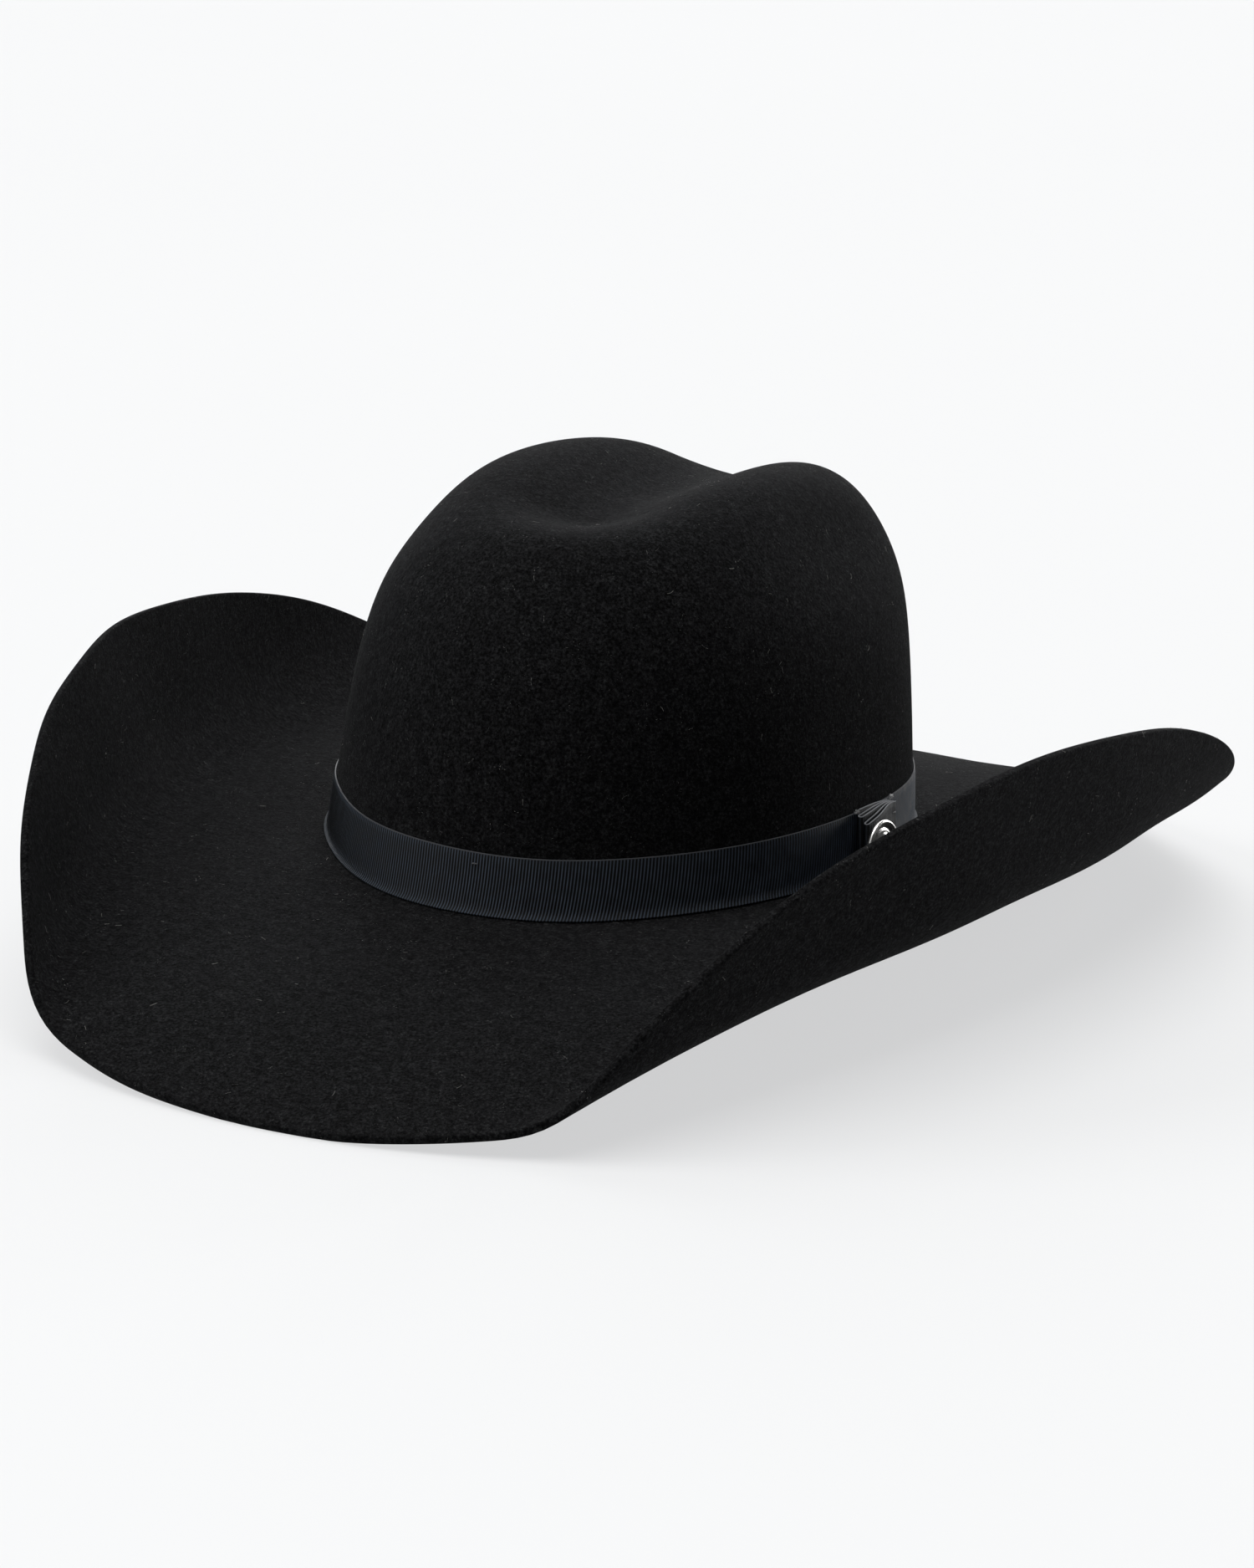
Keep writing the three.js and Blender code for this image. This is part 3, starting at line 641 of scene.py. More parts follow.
def felt_profile():
    """(radius, height) from the tip outside, down the crown and out to the edge, and back inside."""
    last = BLANK_RADIUS + BLANK_BRIM
    brim = np.linspace(BLANK_RADIUS + BREAK_FILLET, last - EDGE_ROUNDING, BRIM_ROWS)[1:]
    corner = np.linspace(0, math.pi / 2, 5)[1:]
    top_edge = np.stack([
        last - EDGE_ROUNDING + EDGE_ROUNDING * np.sin(corner),
        -EDGE_ROUNDING + EDGE_ROUNDING * np.cos(corner),
    ], -1)
    low_edge = np.stack([top_edge[::-1, 0], -FELT - top_edge[::-1, 1]], -1)
    outside = [
        crown_outline(0, 0, 1, CROWN_ROWS)[:-1],
        fillet_outline(0, FILLET_ROWS),
        np.stack([brim, 0 * brim], -1),
    ]
    inside = [
        np.stack([brim[::-1], 0 * brim - FELT], -1),
        fillet_outline(FELT, FILLET_ROWS)[::-1],
        crown_outline(FELT, 0, 1, CROWN_INSIDE_ROWS)[:-1][::-1],
    ]
    return np.concatenate([*outside, top_edge, low_edge, *inside])


def lathe(profile, around):
    return shape_points(turns(around)[None], profile[:, 0][:, None], profile[:, 1][:, None])


def add_felt():
    profile = felt_profile()
    grid = lathe(profile, FELT_AROUND)
    v = np.append(profile_run(profile), 0) * MM
    piece = grid_piece("felt_hat", grid, False, round_uv(FELT_AROUND), v)
    finish_piece(piece, "black_felt", "felt_body")
    return grid


NAP_FIBRES = 12000
NAP_LENGTH = (0.5, 2.2)
NAP_RADIUS = 0.032
NAP_LIFT = (0.02, 0.34)


def add_nap(grid):
    """Short fibres that have come loose and lie on the felt, on all of it that is not lined."""
    shown = len(grid) - CROWN_INSIDE_ROWS - 2
    a, b, c = grid[:shown - 1], np.roll(grid, -1, 1)[:shown - 1], grid[1:shown]
    normal = np.cross(c - a, b - a)
    area = np.linalg.norm(normal, axis=-1)
    chosen = rng.choice(area.size, NAP_FIBRES, p=(area / area.sum()).ravel())
    i, j = np.unravel_index(chosen, area.shape)
    s, t = rng.uniform(size=(2, NAP_FIBRES, 1))
    along, across = (b - a)[i, j], (c - a)[i, j]
    out = -normal[i, j] / area[i, j][:, None]
    start = a[i, j] + s * along + t * across
    turn = rng.uniform(0, math.tau, (NAP_FIBRES, 1))
    side = along / np.linalg.norm(along, axis=-1, keepdims=True)
    other = np.cross(out, side)
    ahead = side * np.cos(turn) + other * np.sin(turn)
    bend = np.cross(out, ahead) * rng.normal(0, 0.35, (NAP_FIBRES, 1))
    length = rng.uniform(*NAP_LENGTH, (NAP_FIBRES, 1))
    lift = rng.uniform(*NAP_LIFT, (NAP_FIBRES, 1))
    steps = np.linspace(-0.5, 0.5, 4)
    paths = np.stack([
        start + ahead * length * k + bend * length * (k * k) + out * (lift * (1 - (2 * k) ** 2) - 0.02)
        for k in steps
    ], 1)
    paths[..., 2] = np.maximum(paths[..., 2], 2 * NAP_RADIUS)
    piece = tubes_piece("felt_nap", paths, NAP_RADIUS, 3, out)
    finish_piece(piece, "black_felt", paint="felt_fibres")


# ---- Grosgrain ----
def ribbon_rows(width):
    """Places across a ribbon, from its top edge: close together at the selvedges."""
    middle = np.linspace(SELVEDGE + 0.35, width - SELVEDGE - 0.35, 13)
    edge = np.array([0, 0.12, 0.6, SELVEDGE])
    return np.concatenate([edge, middle, width - edge[::-1]])


def rib_profile(columns, rows, width):
    """Height of the ribs over the cloth's middle at each (row, column): four columns make one rib."""
    rib = np.tile([0, 0.75, 1, 0.75], len(columns) // 4 + 1)[: len(columns)]
    window = smooth((rows - SELVEDGE + 0.3) / 0.6) * smooth((width - rows - SELVEDGE + 0.3) / 0.6)
    edge = smooth(np.minimum(rows, width - rows) / 0.3)
    return (rib[None] * window[:, None] + 0.35 * (1 - window[:, None])) * edge[:, None] * RIB_HEIGHT


def band_point(across, out):
    """(radius, height) of the band at a distance down from its top edge and out from the felt."""
    wall = RIBBON_TOP - BREAK_FILLET
    angle = np.maximum(across - wall, 0) / (BREAK_FILLET - RIBBON_GAP)
    radius = BREAK_FILLET - out
    on_fillet = across > wall
    r = np.where(on_fillet, BLANK_RADIUS + BREAK_FILLET - radius * np.cos(angle), BLANK_RADIUS + out)
    h = np.where(on_fillet, BREAK_FILLET - radius * np.sin(angle), RIBBON_TOP - across)
    return r, h


BAND_OVERLAP = 7.0
BAND_LIFT = RIBBON_THICK + 0.2  # the upper end of the ribbon rises over the lower one
BAND_WIDTH = RIBBON_TOP - BREAK_FILLET + RIBBON_FOOT * (BREAK_FILLET - RIBBON_GAP)


def add_band():
    """One length of ribbon round the crown. Its ends lie on each other under the bow."""
    length = math.tau * BLANK_RADIUS + 2 * BAND_OVERLAP
    count = round(length / RIB_PITCH) * 4 + 1
    along = np.linspace(-BAND_OVERLAP, length - BAND_OVERLAP, count)
    across = ribbon_rows(BAND_WIDTH)
    lean = RIB_LEAN * (across / BAND_WIDTH) ** 2.2
    a = BOW_ANGLE + (along[None] - lean[:, None]) / BLANK_RADIUS
    over = BAND_LIFT * smooth((along - length + 3.2 * BAND_OVERLAP) / BAND_OVERLAP)[None]
    rib = rib_profile(along, across, BAND_WIDTH)
    r, h = band_point(across[:, None], RIBBON_GAP + RIBBON_THICK + over + rib)
    front = shape_points(a, r, h)
    r, h = band_point(across[:, None], RIBBON_GAP + over - 0.3 * rib)
    back = shape_points(a, r, h)
    piece = slab_piece("hatband_grosgrain", front, back, along * MM, across * MM)
    finish_piece(piece, "grosgrain", "hatband_ribbon")


def follow(route, at):
    """Points of a route of (out, along) points at distances along it, and the normals there."""
    run = profile_run(route)
    line = np.stack([np.interp(at, run, route[:, k]) for k in (0, 1)], -1)
    ahead = np.gradient(line, axis=0)
    ahead /= np.linalg.norm(ahead, axis=-1, keepdims=True)
    return line, np.stack([ahead[:, 1], -ahead[:, 0]], -1)


def ribbon_faces(line, normal, half, angle, h):
    """Both faces of a ribbon on edge, at half its thickness on either side of its line."""
    faces = []
    for side in (1, -1):
        out = line[:, 0] + side * half * normal[:, 0]
        along = line[:, 1] + side * half * normal[:, 1]
        faces.append(shape_points(angle + along / BLANK_RADIUS, BLANK_RADIUS + out, h))
    return faces


def standing_ribbon(name, route, bottom, top, droop):
    """A ribbon standing on edge along a route of (out, along) points in the plane of the blank."""
    length = profile_run(route)[-1]
    at = np.linspace(0, length, max(round(length / RIB_PITCH), 4) * 4 + 1)
    line, normal = follow(route, at)
    width = top - bottom
    across = ribbon_rows(width)
    rib = rib_profile(at, across, width)
    share = np.clip((BOW_BACK - line[:, 1]) / (BOW_BACK - BOW_FRONT), 0, 1)[None]
    sag = droop * share**2 + BOW_REAR_SAG * (1 - share) ** 2 - BOW_ARCH * np.sin(share * math.pi)
    h = top - across[:, None] - sag
    front, back = ribbon_faces(line, normal, BOW_THICK / 2 + rib, BOW_ANGLE, h)
    return slab_piece(name, front, back, at * MM, across * MM), length, width


BOW_THICK = 0.3
BOW_ARCH = 0.5
BOW_REAR_SAG = 1.0
BOW_ROOT = 10.6  # the layers are sewn down this far behind the bow's middle
BOW_REAR = BOW_BACK - 0.4
BOW_OPENING = 16.0
BOW_FRONT_FOLD = BOW_FRONT + 0.8
FIRST_LAYER = 1.35
LAYER_STEP = 0.75
FAN = (1.9, 3.1, 4.6, 6.1, 7.6)  # how far each layer stands off the felt in front


def bow_layer(k, front):
    """Layer k of the bow: close to the band where it is sewn, and standing off it in front."""
    root = FIRST_LAYER + k * LAYER_STEP
    along = np.linspace(BOW_REAR, front, 60)
    share = smooth((BOW_ROOT - along) / BOW_OPENING)
    return np.stack([root + (FAN[k] - root) * share, along], -1)


def folded(outer, inner):
    """Two layers joined by a round fold at the front."""
    a, b = outer[-1], inner[-1]
    middle, radius = (a + b) / 2, abs(a[0] - b[0]) / 2
    turn = np.linspace(0, math.pi, 12)[1:-1]
    fold = np.stack([middle[0] + radius * np.cos(turn), middle[1] - radius * np.sin(turn)], -1)
    return np.concatenate([outer, fold, inner[::-1]])


def add_bow():
    """Three pieces of ribbon in five layers, fanned out at the front and sewn flat at the rear."""
    base = bow_layer(0, BOW_FRONT + 2 * BOW_STEP)
    inner = folded(bow_layer(2, BOW_FRONT + BOW_STEP), bow_layer(1, BOW_FRONT + BOW_STEP))
    outer = folded(bow_layer(4, BOW_FRONT_FOLD), bow_layer(3, BOW_FRONT_FOLD))
    made = [
        ("bow_base_ribbon", base, "bow_base", -0.4),
        ("bow_inner_loop", inner, "bow_loop_inner", 0.8),
        ("bow_outer_loop", outer, "bow_loop_outer", 2.0),
    ]
    for name, route, node, droop in made:
        piece, length, width = standing_ribbon(name, route, BOW_BOTTOM, BOW_TOP, droop)
        # the bow's layers take the copy of grosgrain with more painted shade and a brighter painted
        # edge highlight
        finish_piece(piece, "grosgrain", node, paint="bow_grosgrain_painted_light")


FRAY_RADIUS = 0.08


def add_frays():
    """Loose ends of thread at the cut ends of the bow."""
    paths, ups = [], []
    for along, out, count in ((BOW_FRONT + 2 * BOW_STEP, FAN[0], 16), (BOW_REAR, 2.6, 12)):
        for _ in range(count):
            height = BOW_TOP - rng.uniform(-0.2, 0.9)
            spread = rng.normal(0, 0.35, 3)
            lean = math.copysign(rng.uniform(0.5, 1.3), along)
            steps = np.linspace(0, 1, 5)
            a = BOW_ANGLE + (along + lean * steps + spread[0] * steps**2) / BLANK_RADIUS
            r = BLANK_RADIUS + out + rng.uniform(-0.2, 0.2) + spread[1] * steps**2
            h = height + (abs(spread[2]) + 0.2) * steps**1.5
            paths.append(shape_points(a, r, h))
            ups.append(UPRIGHT)
    piece = tubes_piece("bow_frays", np.stack(paths), FRAY_RADIUS, 5, ups)
    finish_piece(piece, "cotton_thread", paint="loose_thread")


# ---- The pin ----
PIN_RADIUS = 8.5
RIM_RADIUS = 0.75
PIN_BACK = 8.55
DISC_THICK = 0.75
DISC_BORDER = 2.2
DOME_RISE = 0.5
RIM_LIFT = 0.95
POST_RADIUS = 0.6
POST_END = -5.1
POST_TIP = 0.16
PETALS = 5
ROSETTE_REACH = PIN_RADIUS * 0.6
ROSETTE_ROWS = 30
ROSETTE_STEPS = 160

pin_joint = next(j for j in frame["joints"] if j["name"] == "pin_turn")


def pin_place():
    """The pin's own axes and place, from its joint: z out of the felt, y up the wall."""
    out = np.array(pin_joint["axis"], float)
    along = np.cross([0, 0, 1.0], out)
    along /= np.linalg.norm(along)
    return np.stack([along, np.cross(out, along), out]), np.array(pin_joint["pos_m"], float) / MM


def on_pin(points):
    axes, place = pin_place()
    return points @ axes + place


def axis_rings(radius, turn, height):
    return np.stack([radius * np.cos(turn), radius * np.sin(turn), height + 0 * turn], -1)


def turned_piece(name, profile, around, closed):
    """A piece turned about the pin's axis from (radius, height) points."""
    profile = np.asarray(profile, float)
    grid = axis_rings(profile[:, 0][:, None], turns(around), profile[:, 1][:, None])
    u = round_uv(around, PIN_RADIUS)
    run = np.append(profile_run(profile), 0) * MM
    return grid_piece(name, on_pin(grid), closed, u, run)


def ring_profile(middle, height, radius, count):
    turn = turns(count)
    return np.stack([middle + radius * np.cos(turn), height + radius * np.sin(turn)], -1)


def rounded(points, radius, steps=3):
    """An open outline with its inner corners rounded."""
    points = np.asarray(points, float)
    made = [points[0]]
    for before, corner, after in zip(points, points[1:], points[2:]):
        sides = [before - corner, after - corner]
        cut = [min(radius, np.linalg.norm(s) / 2.1) / max(np.linalg.norm(s), 1e-9) * s for s in sides]
        for t in np.linspace(0, 1, steps + 1):
            made.append(corner + (1 - t) ** 2 * cut[0] + t**2 * cut[1])
    made.append(points[-1])
    return np.array(made)


def dome_height(r):
    """The disc's face: a flat border, a step and a low dome."""
    dome = np.cos(np.clip(r / 9.5, 0, 1.5))
    return PIN_BACK + DISC_THICK + DOME_RISE * smooth(PIN_RADIUS - DISC_BORDER - r) * dome


def add_pin():
    edge = PIN_RADIUS - RIM_RADIUS
    r = np.linspace(0, edge, 40)
    face = np.stack([r, dome_height(r)], -1)
    back = [(edge, PIN_BACK), (edge * 0.6, PIN_BACK), (0, PIN_BACK)]
    disc = turned_piece("pin_face", np.concatenate([face, back]), 96, False)
    finish_piece(disc, "polished_steel", "pin_disc", body="pin")
    ring = ring_profile(edge, PIN_BACK + RIM_LIFT, RIM_RADIUS, 16)
    rim = turned_piece("pin_rim_ring", ring, 128, True)
    finish_piece(rim, "polished_steel", "pin_rim", body="pin")
    add_rosette()
    post = rounded([
        (0, POST_END), (POST_TIP, POST_END + 0.2), (POST_RADIUS, POST_END + 1.5),
        (POST_RADIUS, PIN_BACK + 0.1), (0, PIN_BACK + 0.1),
    ], 0.1)
    rod = turned_piece("pin_post_rod", post, 24, False)
    finish_piece(rod, "polished_steel", "pin_post", body="pin")


def add_rosette():
    """Five hollowed petals round a boss, as one closed relief."""
    share = np.linspace(0, 1, ROSETTE_ROWS)[:, None]
    turn = turns(ROSETTE_STEPS)[None]
    petal = np.abs(np.cos(PETALS * turn / 2))
    radius = share * ROSETTE_REACH * (0.76 + 0.24 * petal**0.7)
    relief = 0.85 * np.sin(np.clip(share * 1.12, 0, 1) * math.pi * 0.92) * (0.35 + 0.65 * petal)
    vein = 0.22 * bell((1 - petal) / 0.02) * bell((share - 0.6) / 0.25)
    boss = 0.95 * np.sqrt(np.clip(1 - (radius / 1.5) ** 2, 0, 1))
    height = dome_height(radius) - 0.08 + np.maximum(relief - vein, boss) * smooth((1 - share) / 0.12)
    below = dome_height(radius[-1:]) - 0.35
    grid = np.concatenate([
        axis_rings(radius, turn, height),
        axis_rings(radius[-1:], turn, below),
        axis_rings(0, turn, below.mean()),
    ])
    u, v = (np.arange(n + 1) * MM / 4 for n in (ROSETTE_STEPS, len(grid)))
    piece = grid_piece("pin_rosette", on_pin(grid), False, u, v)
    finish_piece(piece, "polished_steel", "pin_motif", body="pin")


def add_clutch():
    inner = -FELT - 0.35
    outline = [
        (0.95, inner), (4.4, inner), (5.0, inner - 0.35), (4.9, inner - 0.9), (3.7, inner - 1.5),
        (3.5, inner - 2.4), (3.1, inner - 3.1), (0.95, inner - 3.1),
    ]
    profile = rounded(outline + [outline[0]], 0.3)[:-1]
    piece = turned_piece("pin_clutch_cap", profile, 64, True)
    finish_piece(piece, "polished_steel", "pin_clutch", body="clutch")


# ---- Tacks and stitches ----
TACK_HALF = 0.9
TACK_RADIUS = 0.2
TACK_HEIGHT = 14.5
LOWER_TACK_HEIGHT = 7.0
BOW_TACK_PLACE = 10


def tack_path(angle, height, near, far):
    """A hand stitch: in through the cloth, a short bar outside, and back in beside it."""
    places = np.array([
        (-1, near, 0.0), (-1, far - 0.15, 0.0), (-0.6, far, 0.05), (0, far + 0.06, 0.08),
        (0.6, far, 0.05), (1, far - 0.15, 0.0), (1, near, 0.0),
    ])
    aside = places[:, 0] * TACK_HALF / BLANK_RADIUS
    return shape_points(angle + aside, BLANK_RADIUS + places[:, 1], height + places[:, 2])


def add_tacks():
    band = RIBBON_GAP + RIBBON_THICK + RIB_HEIGHT
    bow = FIRST_LAYER + LAYER_STEP * (len(FAN) - 1) + RIBBON_THICK
    bow_place = BOW_ANGLE + BOW_TACK_PLACE / BLANK_RADIUS
    spots = {
        "ribbon_tack_front": (math.radians(-88), TACK_HEIGHT, band),
        "ribbon_tack_right": (math.radians(178), TACK_HEIGHT, band),
        "ribbon_tack_back": (math.radians(88), TACK_HEIGHT, band),
        "bow_tack_upper": (bow_place, TACK_HEIGHT, bow),
        "bow_tack_lower": (bow_place, LOWER_TACK_HEIGHT, bow),
    }
    for node, (angle, height, out) in spots.items():
        path = tack_path(angle, height, -FELT - 0.3, out)
        at = np.linspace(0, len(path) - 1, 31)
        fine = np.stack([np.interp(at, range(len(path)), path[:, k]) for k in range(3)], -1)
        piece = tubes_piece(node + "_thread", [fine], TACK_RADIUS, 8, [UPRIGHT])
        finish_piece(piece, "cotton_thread", node)


# ---- The sweatband ----
SWEATBAND_FOOT = -1
SWEATBAND_FACE = np.array([(SWEATBAND_FOOT, 6.4), (2, 7.6), (14, 8.2), (32, 9.2), (SWEATBAND_TOP, 10)])
BACK_JOINT = 0.3 / BLANK_RADIUS
STITCHES = 188
STITCH_RADIUS = 0.2
REED_SIDES = 14
REED_RINGS = 361
TAPE_STEPS = 720


def sweatband_depth(height):
    """How far the leather's outer face stands in from the crown's wall."""
    return np.interp(height, SWEATBAND_FACE[:, 0], SWEATBAND_FACE[:, 1])


def round_from_back(gap, count):
    """Angles once round the hat from its back, with a gap on either side of the start."""
    return np.linspace(math.pi / 2 + gap, math.pi * 2.5 - gap, count)


def add_sweatband():
    angle = round_from_back(BACK_JOINT, 401)[None]
    height = np.linspace(SWEATBAND_FOOT, SWEATBAND_TOP, 34)[:, None]
    depth = sweatband_depth(height)
    thin = LEATHER - 0.5 * smooth((height - SWEATBAND_TOP + 2) / 2)
    at_top, at_stitches = (height - SWEATBAND_TOP + 4.5) / 0.8, (height - STITCH_HEIGHT) / 0.9
    crease = 0.18 * bell(at_top) + 0.12 * bell(at_stitches)
    outer = shape_points(angle, BLANK_RADIUS - depth, height)
    inner = shape_points(angle, BLANK_RADIUS - depth - thin + crease, height)
    u = angle[0] * BLANK_RADIUS * MM
    piece = slab_piece("sweatband_leather", outer, inner, u, height[:, 0] * MM)
    finish_piece(piece, "dark_leather", "sweatband")

    spots = round_from_back(0.02, STITCHES + 1)[:-1]
    step = spots[1] - spots[0]
    t = np.linspace(0.06, 0.86, 7)
    face = sweatband_depth(STITCH_HEIGHT) + LEATHER - 0.12
    r = BLANK_RADIUS - face - 0.42 * np.sin(np.linspace(0, math.pi, 7)) ** 0.6
    paths = [shape_points(start + t * step, r, STITCH_HEIGHT + 0.15 * (t - 0.5)) for start in spots]
    ups = [UPRIGHT] * len(paths)
    stitches = tubes_piece("sweatband_stitches", paths, STITCH_RADIUS, 6, ups)
    finish_piece(stitches, "cotton_thread", "sweatband_stitching")


def add_reed():
    turn = turns(REED_SIDES)
    r = BLANK_RADIUS - REED_DEPTH + REED_RADIUS * np.cos(turn)
    h = REED_HEIGHT + REED_RADIUS * np.sin(turn)
    rings = shape_points(round_from_back(BACK_JOINT, REED_RINGS)[:, None], r[None], h[None])
    reed = link("reed_rod", rings.reshape(-1, 3), tube_faces(REED_RINGS, REED_SIDES, 0))
    finish_piece(reed, "reed_plastic", "sweatband_reed")

    turn = np.linspace(-1.15 * math.pi, 0.15 * math.pi, 15)[:, None]
    angle = turns(TAPE_STEPS)[None]
    layers = []
    for radius in (REED_RADIUS + 0.62, REED_RADIUS + 0.3):
        rough = 0.03 * np.sin(angle * TAPE_STEPS / 4) * np.sin(turn * 9)
        r = BLANK_RADIUS - REED_DEPTH + (radius + rough) * np.cos(turn)
        layers.append(shape_points(angle, r, REED_HEIGHT + (radius + rough) * np.sin(turn)))
    u, v = round_uv(TAPE_STEPS), turn[:, 0] * MM
    tape = slab_piece("reed_cover_tape", layers[0], layers[1], u, v, close_cols=True)
    finish_piece(tape, "satin", "reed_tape")


def patch(name, middle, width, bottom, top, thick, corner):
    """A thin upright patch behind the sweatband, with rounded corners."""
    v = np.linspace(bottom, top, 26)[:, None]
    w = np.linspace(-1, 1, 33)[None]
    end = np.minimum(v - bottom, top - v)
    inset = corner - np.sqrt(np.clip(corner**2 - np.clip(corner - end, 0, corner) ** 2, 0, None))
    along = w * (width / 2 - inset)
    angle = math.radians(middle) + along / BLANK_RADIUS
    middle_out = 0.55 - sweatband_depth(v)
    ripple = 0.06 * np.sin(v * 0.9 + w * 2)
    front = shape_points(angle, BLANK_RADIUS + middle_out - thick / 2 + ripple, v)
    back = shape_points(angle, BLANK_RADIUS + middle_out + thick / 2 + ripple, v)
    return slab_piece(name, front, back, (w[0] * width / 2) * MM, v[:, 0] * MM)


def add_patches():
    tape = patch("back_seam_tape", middle=90, width=10, bottom=3, top=46, thick=0.3, corner=0.8)
    finish_piece(tape, "satin", "sweatband_seam_tape")
    tag = patch("size_label", middle=108, width=24, bottom=16, top=34, thick=0.35, corner=2.0)
    finish_piece(tag, "card", "size_tag")


INNER_BOW_BOTTOM = 5
INNER_BOW_TOP = 9.5
INNER_BOW_MIDDLE = (INNER_BOW_BOTTOM + INNER_BOW_TOP) / 2
INNER_BOW_THICK = 0.28
INNER_BOW_HALF_LOOP = 5.6
KNOT_DEEP = 0.85
KNOT_TALL = 2.5
KNOT_HALF_LENGTH = 2
KNOT_SIDES = 24
KNOT_RINGS = 15


def inner_ribbon(name, route):
    """A narrow satin ribbon on edge along a route of (out, along) points, at the back of the hat."""
    at = np.linspace(0, profile_run(route)[-1], 70)
    line, normal = follow(route, at)
    across = np.linspace(0, 1, 9)
    pinch = 1 - 0.35 * bell((np.abs(line[:, 1]) - 2) / 2.2)
    width = INNER_BOW_TOP - INNER_BOW_BOTTOM
    h = INNER_BOW_MIDDLE + (across[:, None] - 0.5) * width * pinch[None]
    front, back = ribbon_faces(line, normal, INNER_BOW_THICK / 2, math.pi / 2, h)
    return slab_piece(name, front, back, at * MM, across * width * MM)


def add_inner_bow():
    """The small flat bow that marks the back of the hat."""
    face = -(sweatband_depth(INNER_BOW_TOP) + LEATHER + 0.45)
    for name, side in (("inner_bow_loop_left", 1), ("inner_bow_loop_right", -1)):
        turn = np.linspace(-0.93 * math.pi, 0.93 * math.pi, 60)
        along = side * (INNER_BOW_HALF_LOOP * (np.cos(turn) + 1) + 1.4)
        deep = face - 0.62 + 0.62 * np.sin(turn) * (0.55 + 0.45 * np.cos(turn))
        piece = inner_ribbon(name + "_ribbon", np.stack([deep, along], -1))
        finish_piece(piece, "satin", name)
    turn = turns(KNOT_SIDES)
    along = np.linspace(-1, 1, KNOT_RINGS)[:, None] * KNOT_HALF_LENGTH
    swell = 1 - 0.18 * (along / KNOT_HALF_LENGTH) ** 4 + 0.03 * np.sin(along * 9)
    r = BLANK_RADIUS + face - KNOT_DEEP + KNOT_DEEP * np.cos(turn) * swell
    h = INNER_BOW_MIDDLE + KNOT_TALL * np.sin(turn) * swell
    rings = shape_points(math.pi / 2 + along / BLANK_RADIUS, r, h)
    knot = link("inner_bow_knot_wrap", rings.reshape(-1, 3), tube_faces(KNOT_RINGS, KNOT_SIDES, 0))
    finish_piece(knot, "satin", "inner_bow_knot")


# ---- The lining ----
GATHERS = 96
SATIN = LINING * 0.6
TIP_ROWS = 28
PIPING_RADIUS = 0.45
PIPING_SIDES = 14
PIPING_STEPS = 1440


def lining_sheet(start, end, rows, gather):
    """Both faces of the lining between two shares of the crown's outline, drawn in by its gathers."""
    around = GATHERS * 6
    angle = turns(around)[None]
    share = np.linspace(0, 1, rows)[:, None]
    fold = gather(share, angle)
    layers = []
    for inset in (LINING_DEPTH, LINING_DEPTH + SATIN):
        r, h = crown_outline(inset, start, end, rows).T[..., None]
        layers.append(shape_points(angle, r * (1 - fold / BLANK_RADIUS), h))
    v = profile_run(crown_outline(LINING_DEPTH, start, end, rows)) * MM
    return layers, round_uv(around), v


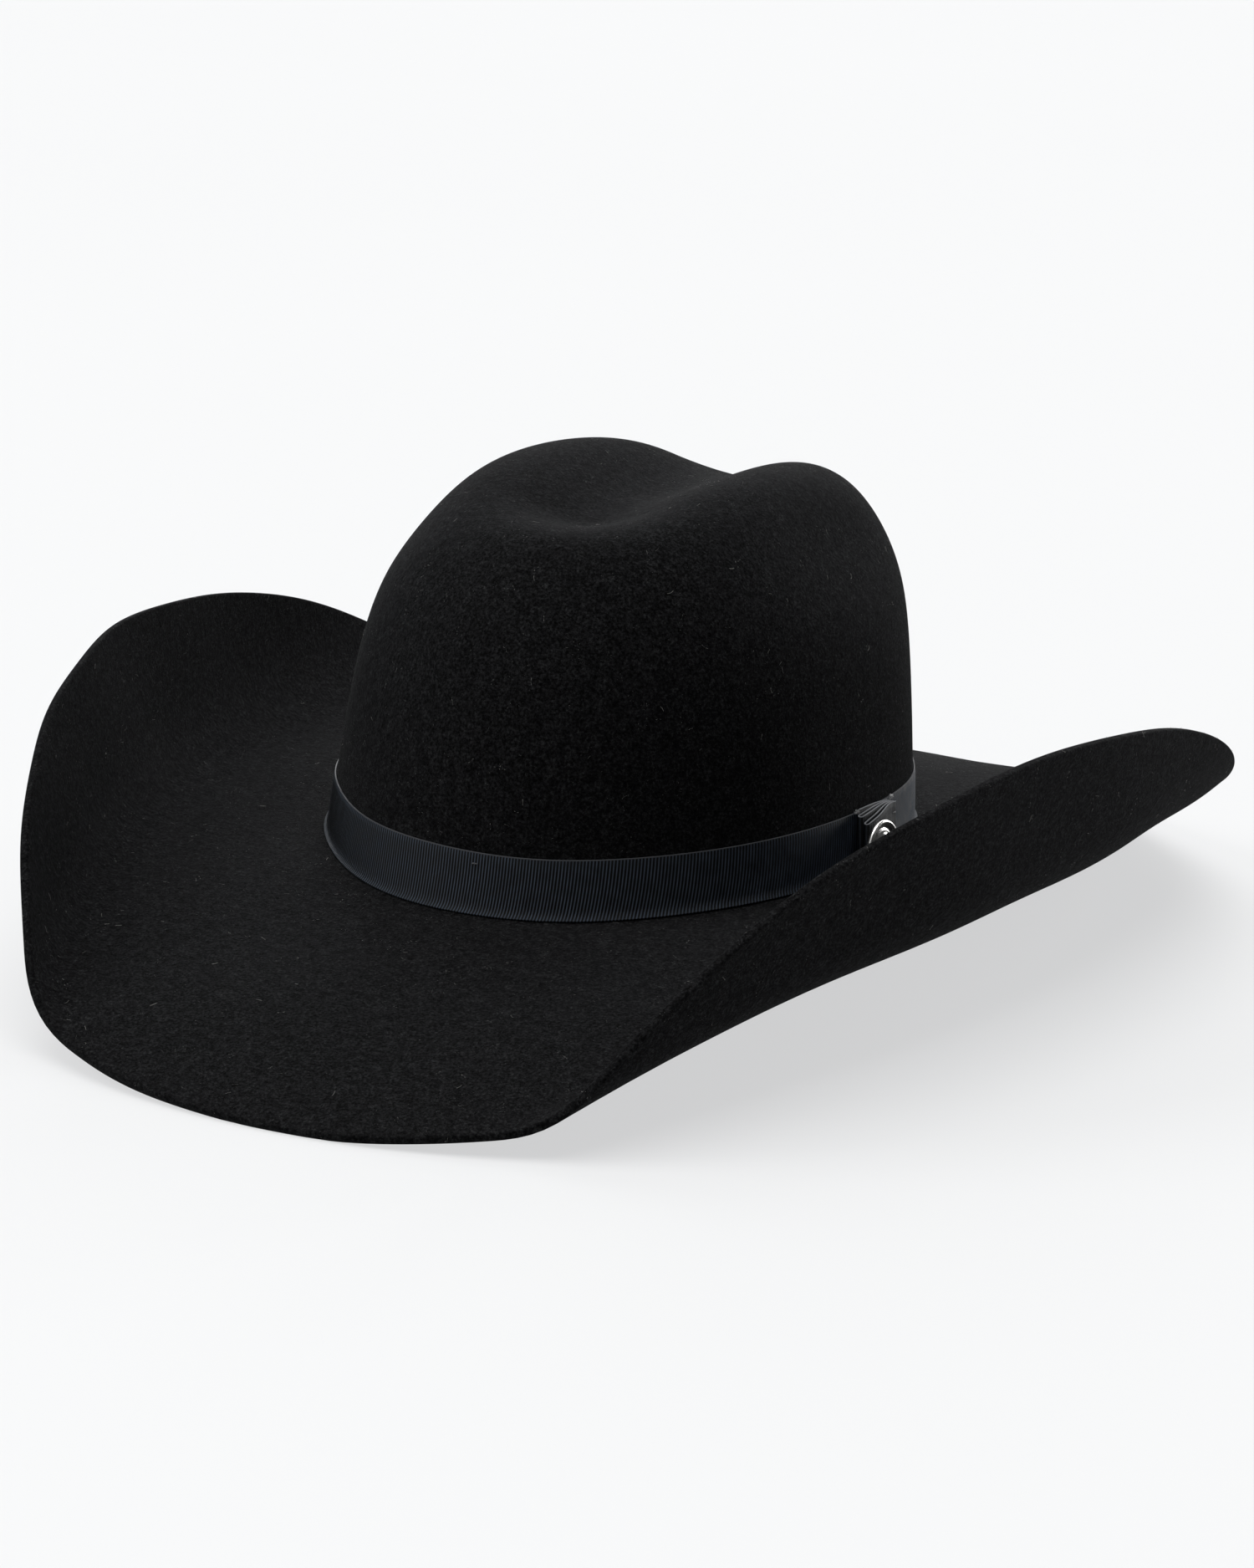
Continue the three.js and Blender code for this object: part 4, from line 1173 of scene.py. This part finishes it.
def add_lining():
    def pucker(share, angle):
        return 0.35 * (1 + np.sin(GATHERS * angle + 2 * np.sin(7 * angle))) * (1 - share) ** 1.5

    layers, u, v = lining_sheet(LINING_SEAM + 0.012, LINING_FOOT, 30, pucker)
    side = slab_piece("lining_side_satin", layers[1], layers[0], u, v, close_cols=True)
    finish_piece(side, "satin", "lining_side")

    around = GATHERS * 4
    tip = np.concatenate([
        crown_outline(LINING_DEPTH, 0, LINING_SEAM, TIP_ROWS),
        crown_outline(LINING_DEPTH + SATIN, 0, LINING_SEAM, TIP_ROWS)[::-1],
    ])
    grid = lathe(tip, around)
    v = np.append(profile_run(tip), 0) * MM
    piece = grid_piece("lining_tip_satin", grid, False, round_uv(around), v)
    finish_piece(piece, "satin", "lining_tip")

    seam = crown_outline(LINING_DEPTH + LINING + 1.0, LINING_SEAM, 1, 2)[0]
    turn = turns(PIPING_SIDES)[:, None]
    angle = turns(PIPING_STEPS)[None]
    radius = PIPING_RADIUS + 0.05 * np.sin(turn * 2 + angle * 240)
    rings = shape_points(angle, seam[0] + radius * np.cos(turn), seam[1] + radius * np.sin(turn))
    u, v = (np.arange(n + 1) * MM for n in (PIPING_STEPS, PIPING_SIDES))
    cord = grid_piece("lining_piping_cord", rings, True, u, v)
    finish_piece(cord, "satin", "lining_piping")


# ---- Floor and light ----
FLOOR_HALF = 12.0
FLOOR_DROP = 0.0002


def add_floor():
    mesh = bpy.data.meshes.new("floor")
    around = ((-1, -1), (1, -1), (1, 1), (-1, 1))
    corners = [(x * FLOOR_HALF, y * FLOOR_HALF, -FLOOR_DROP) for x, y in around]
    mesh.from_pydata(corners, [], [(0, 1, 2, 3)])
    mesh.materials.append(floor_paint())
    floor = add_object("floor", mesh)


# Soft lamps: the way to each as (right, away, up) in the photo, its spread in degrees and its strength.
LAMPS = {
    "overhead": ((0, 0, 1), 50, 2.7),
    "rear": ((0, 0.8, 0.6), 50, 2.0),
    "rear_low": ((-0.1, 0.97, 0.2), 30, 1.0),
    "left": ((-0.85, 0.05, 0.52), 30, 1.6),
    "left_front": ((-0.55, -0.45, 0.7), 50, 0.4),
    "right_rear": ((0.72, 0.66, 0.22), 24, 1.6),
}


def add_lights():
    world = bpy.data.worlds.new("studio")
    bpy.context.scene.world = world
    world.use_nodes = True
    background = world.node_tree.nodes["Background"]
    background.inputs["Color"].default_value = (0.95, 0.97, 1.0, 1)
    background.inputs["Strength"].default_value = 0.02
    to_right = Vector((math.cos(CAMERA_AZIMUTH), math.sin(CAMERA_AZIMUTH), 0))
    away = Vector((-math.sin(CAMERA_AZIMUTH), math.cos(CAMERA_AZIMUTH), 0))
    for name, ((right, back, up), spread, strength) in LAMPS.items():
        data = bpy.data.lights.new(name, "SUN")
        data.energy = strength
        data.angle = math.radians(spread)
        lamp = add_object(name, data)
        toward = to_right * right + away * back + Vector((0, 0, up))
        lamp.rotation_euler = toward.to_track_quat("Z", "Y").to_euler()


add_camera()
felt_grid = add_felt()
add_nap(felt_grid)
add_band()
add_bow()
add_frays()
add_pin()
add_clutch()
add_tacks()
add_sweatband()
add_reed()
add_patches()
add_inner_bow()
add_lining()
add_floor()
add_lights()
bpy.context.scene.view_settings.view_transform = "Standard"
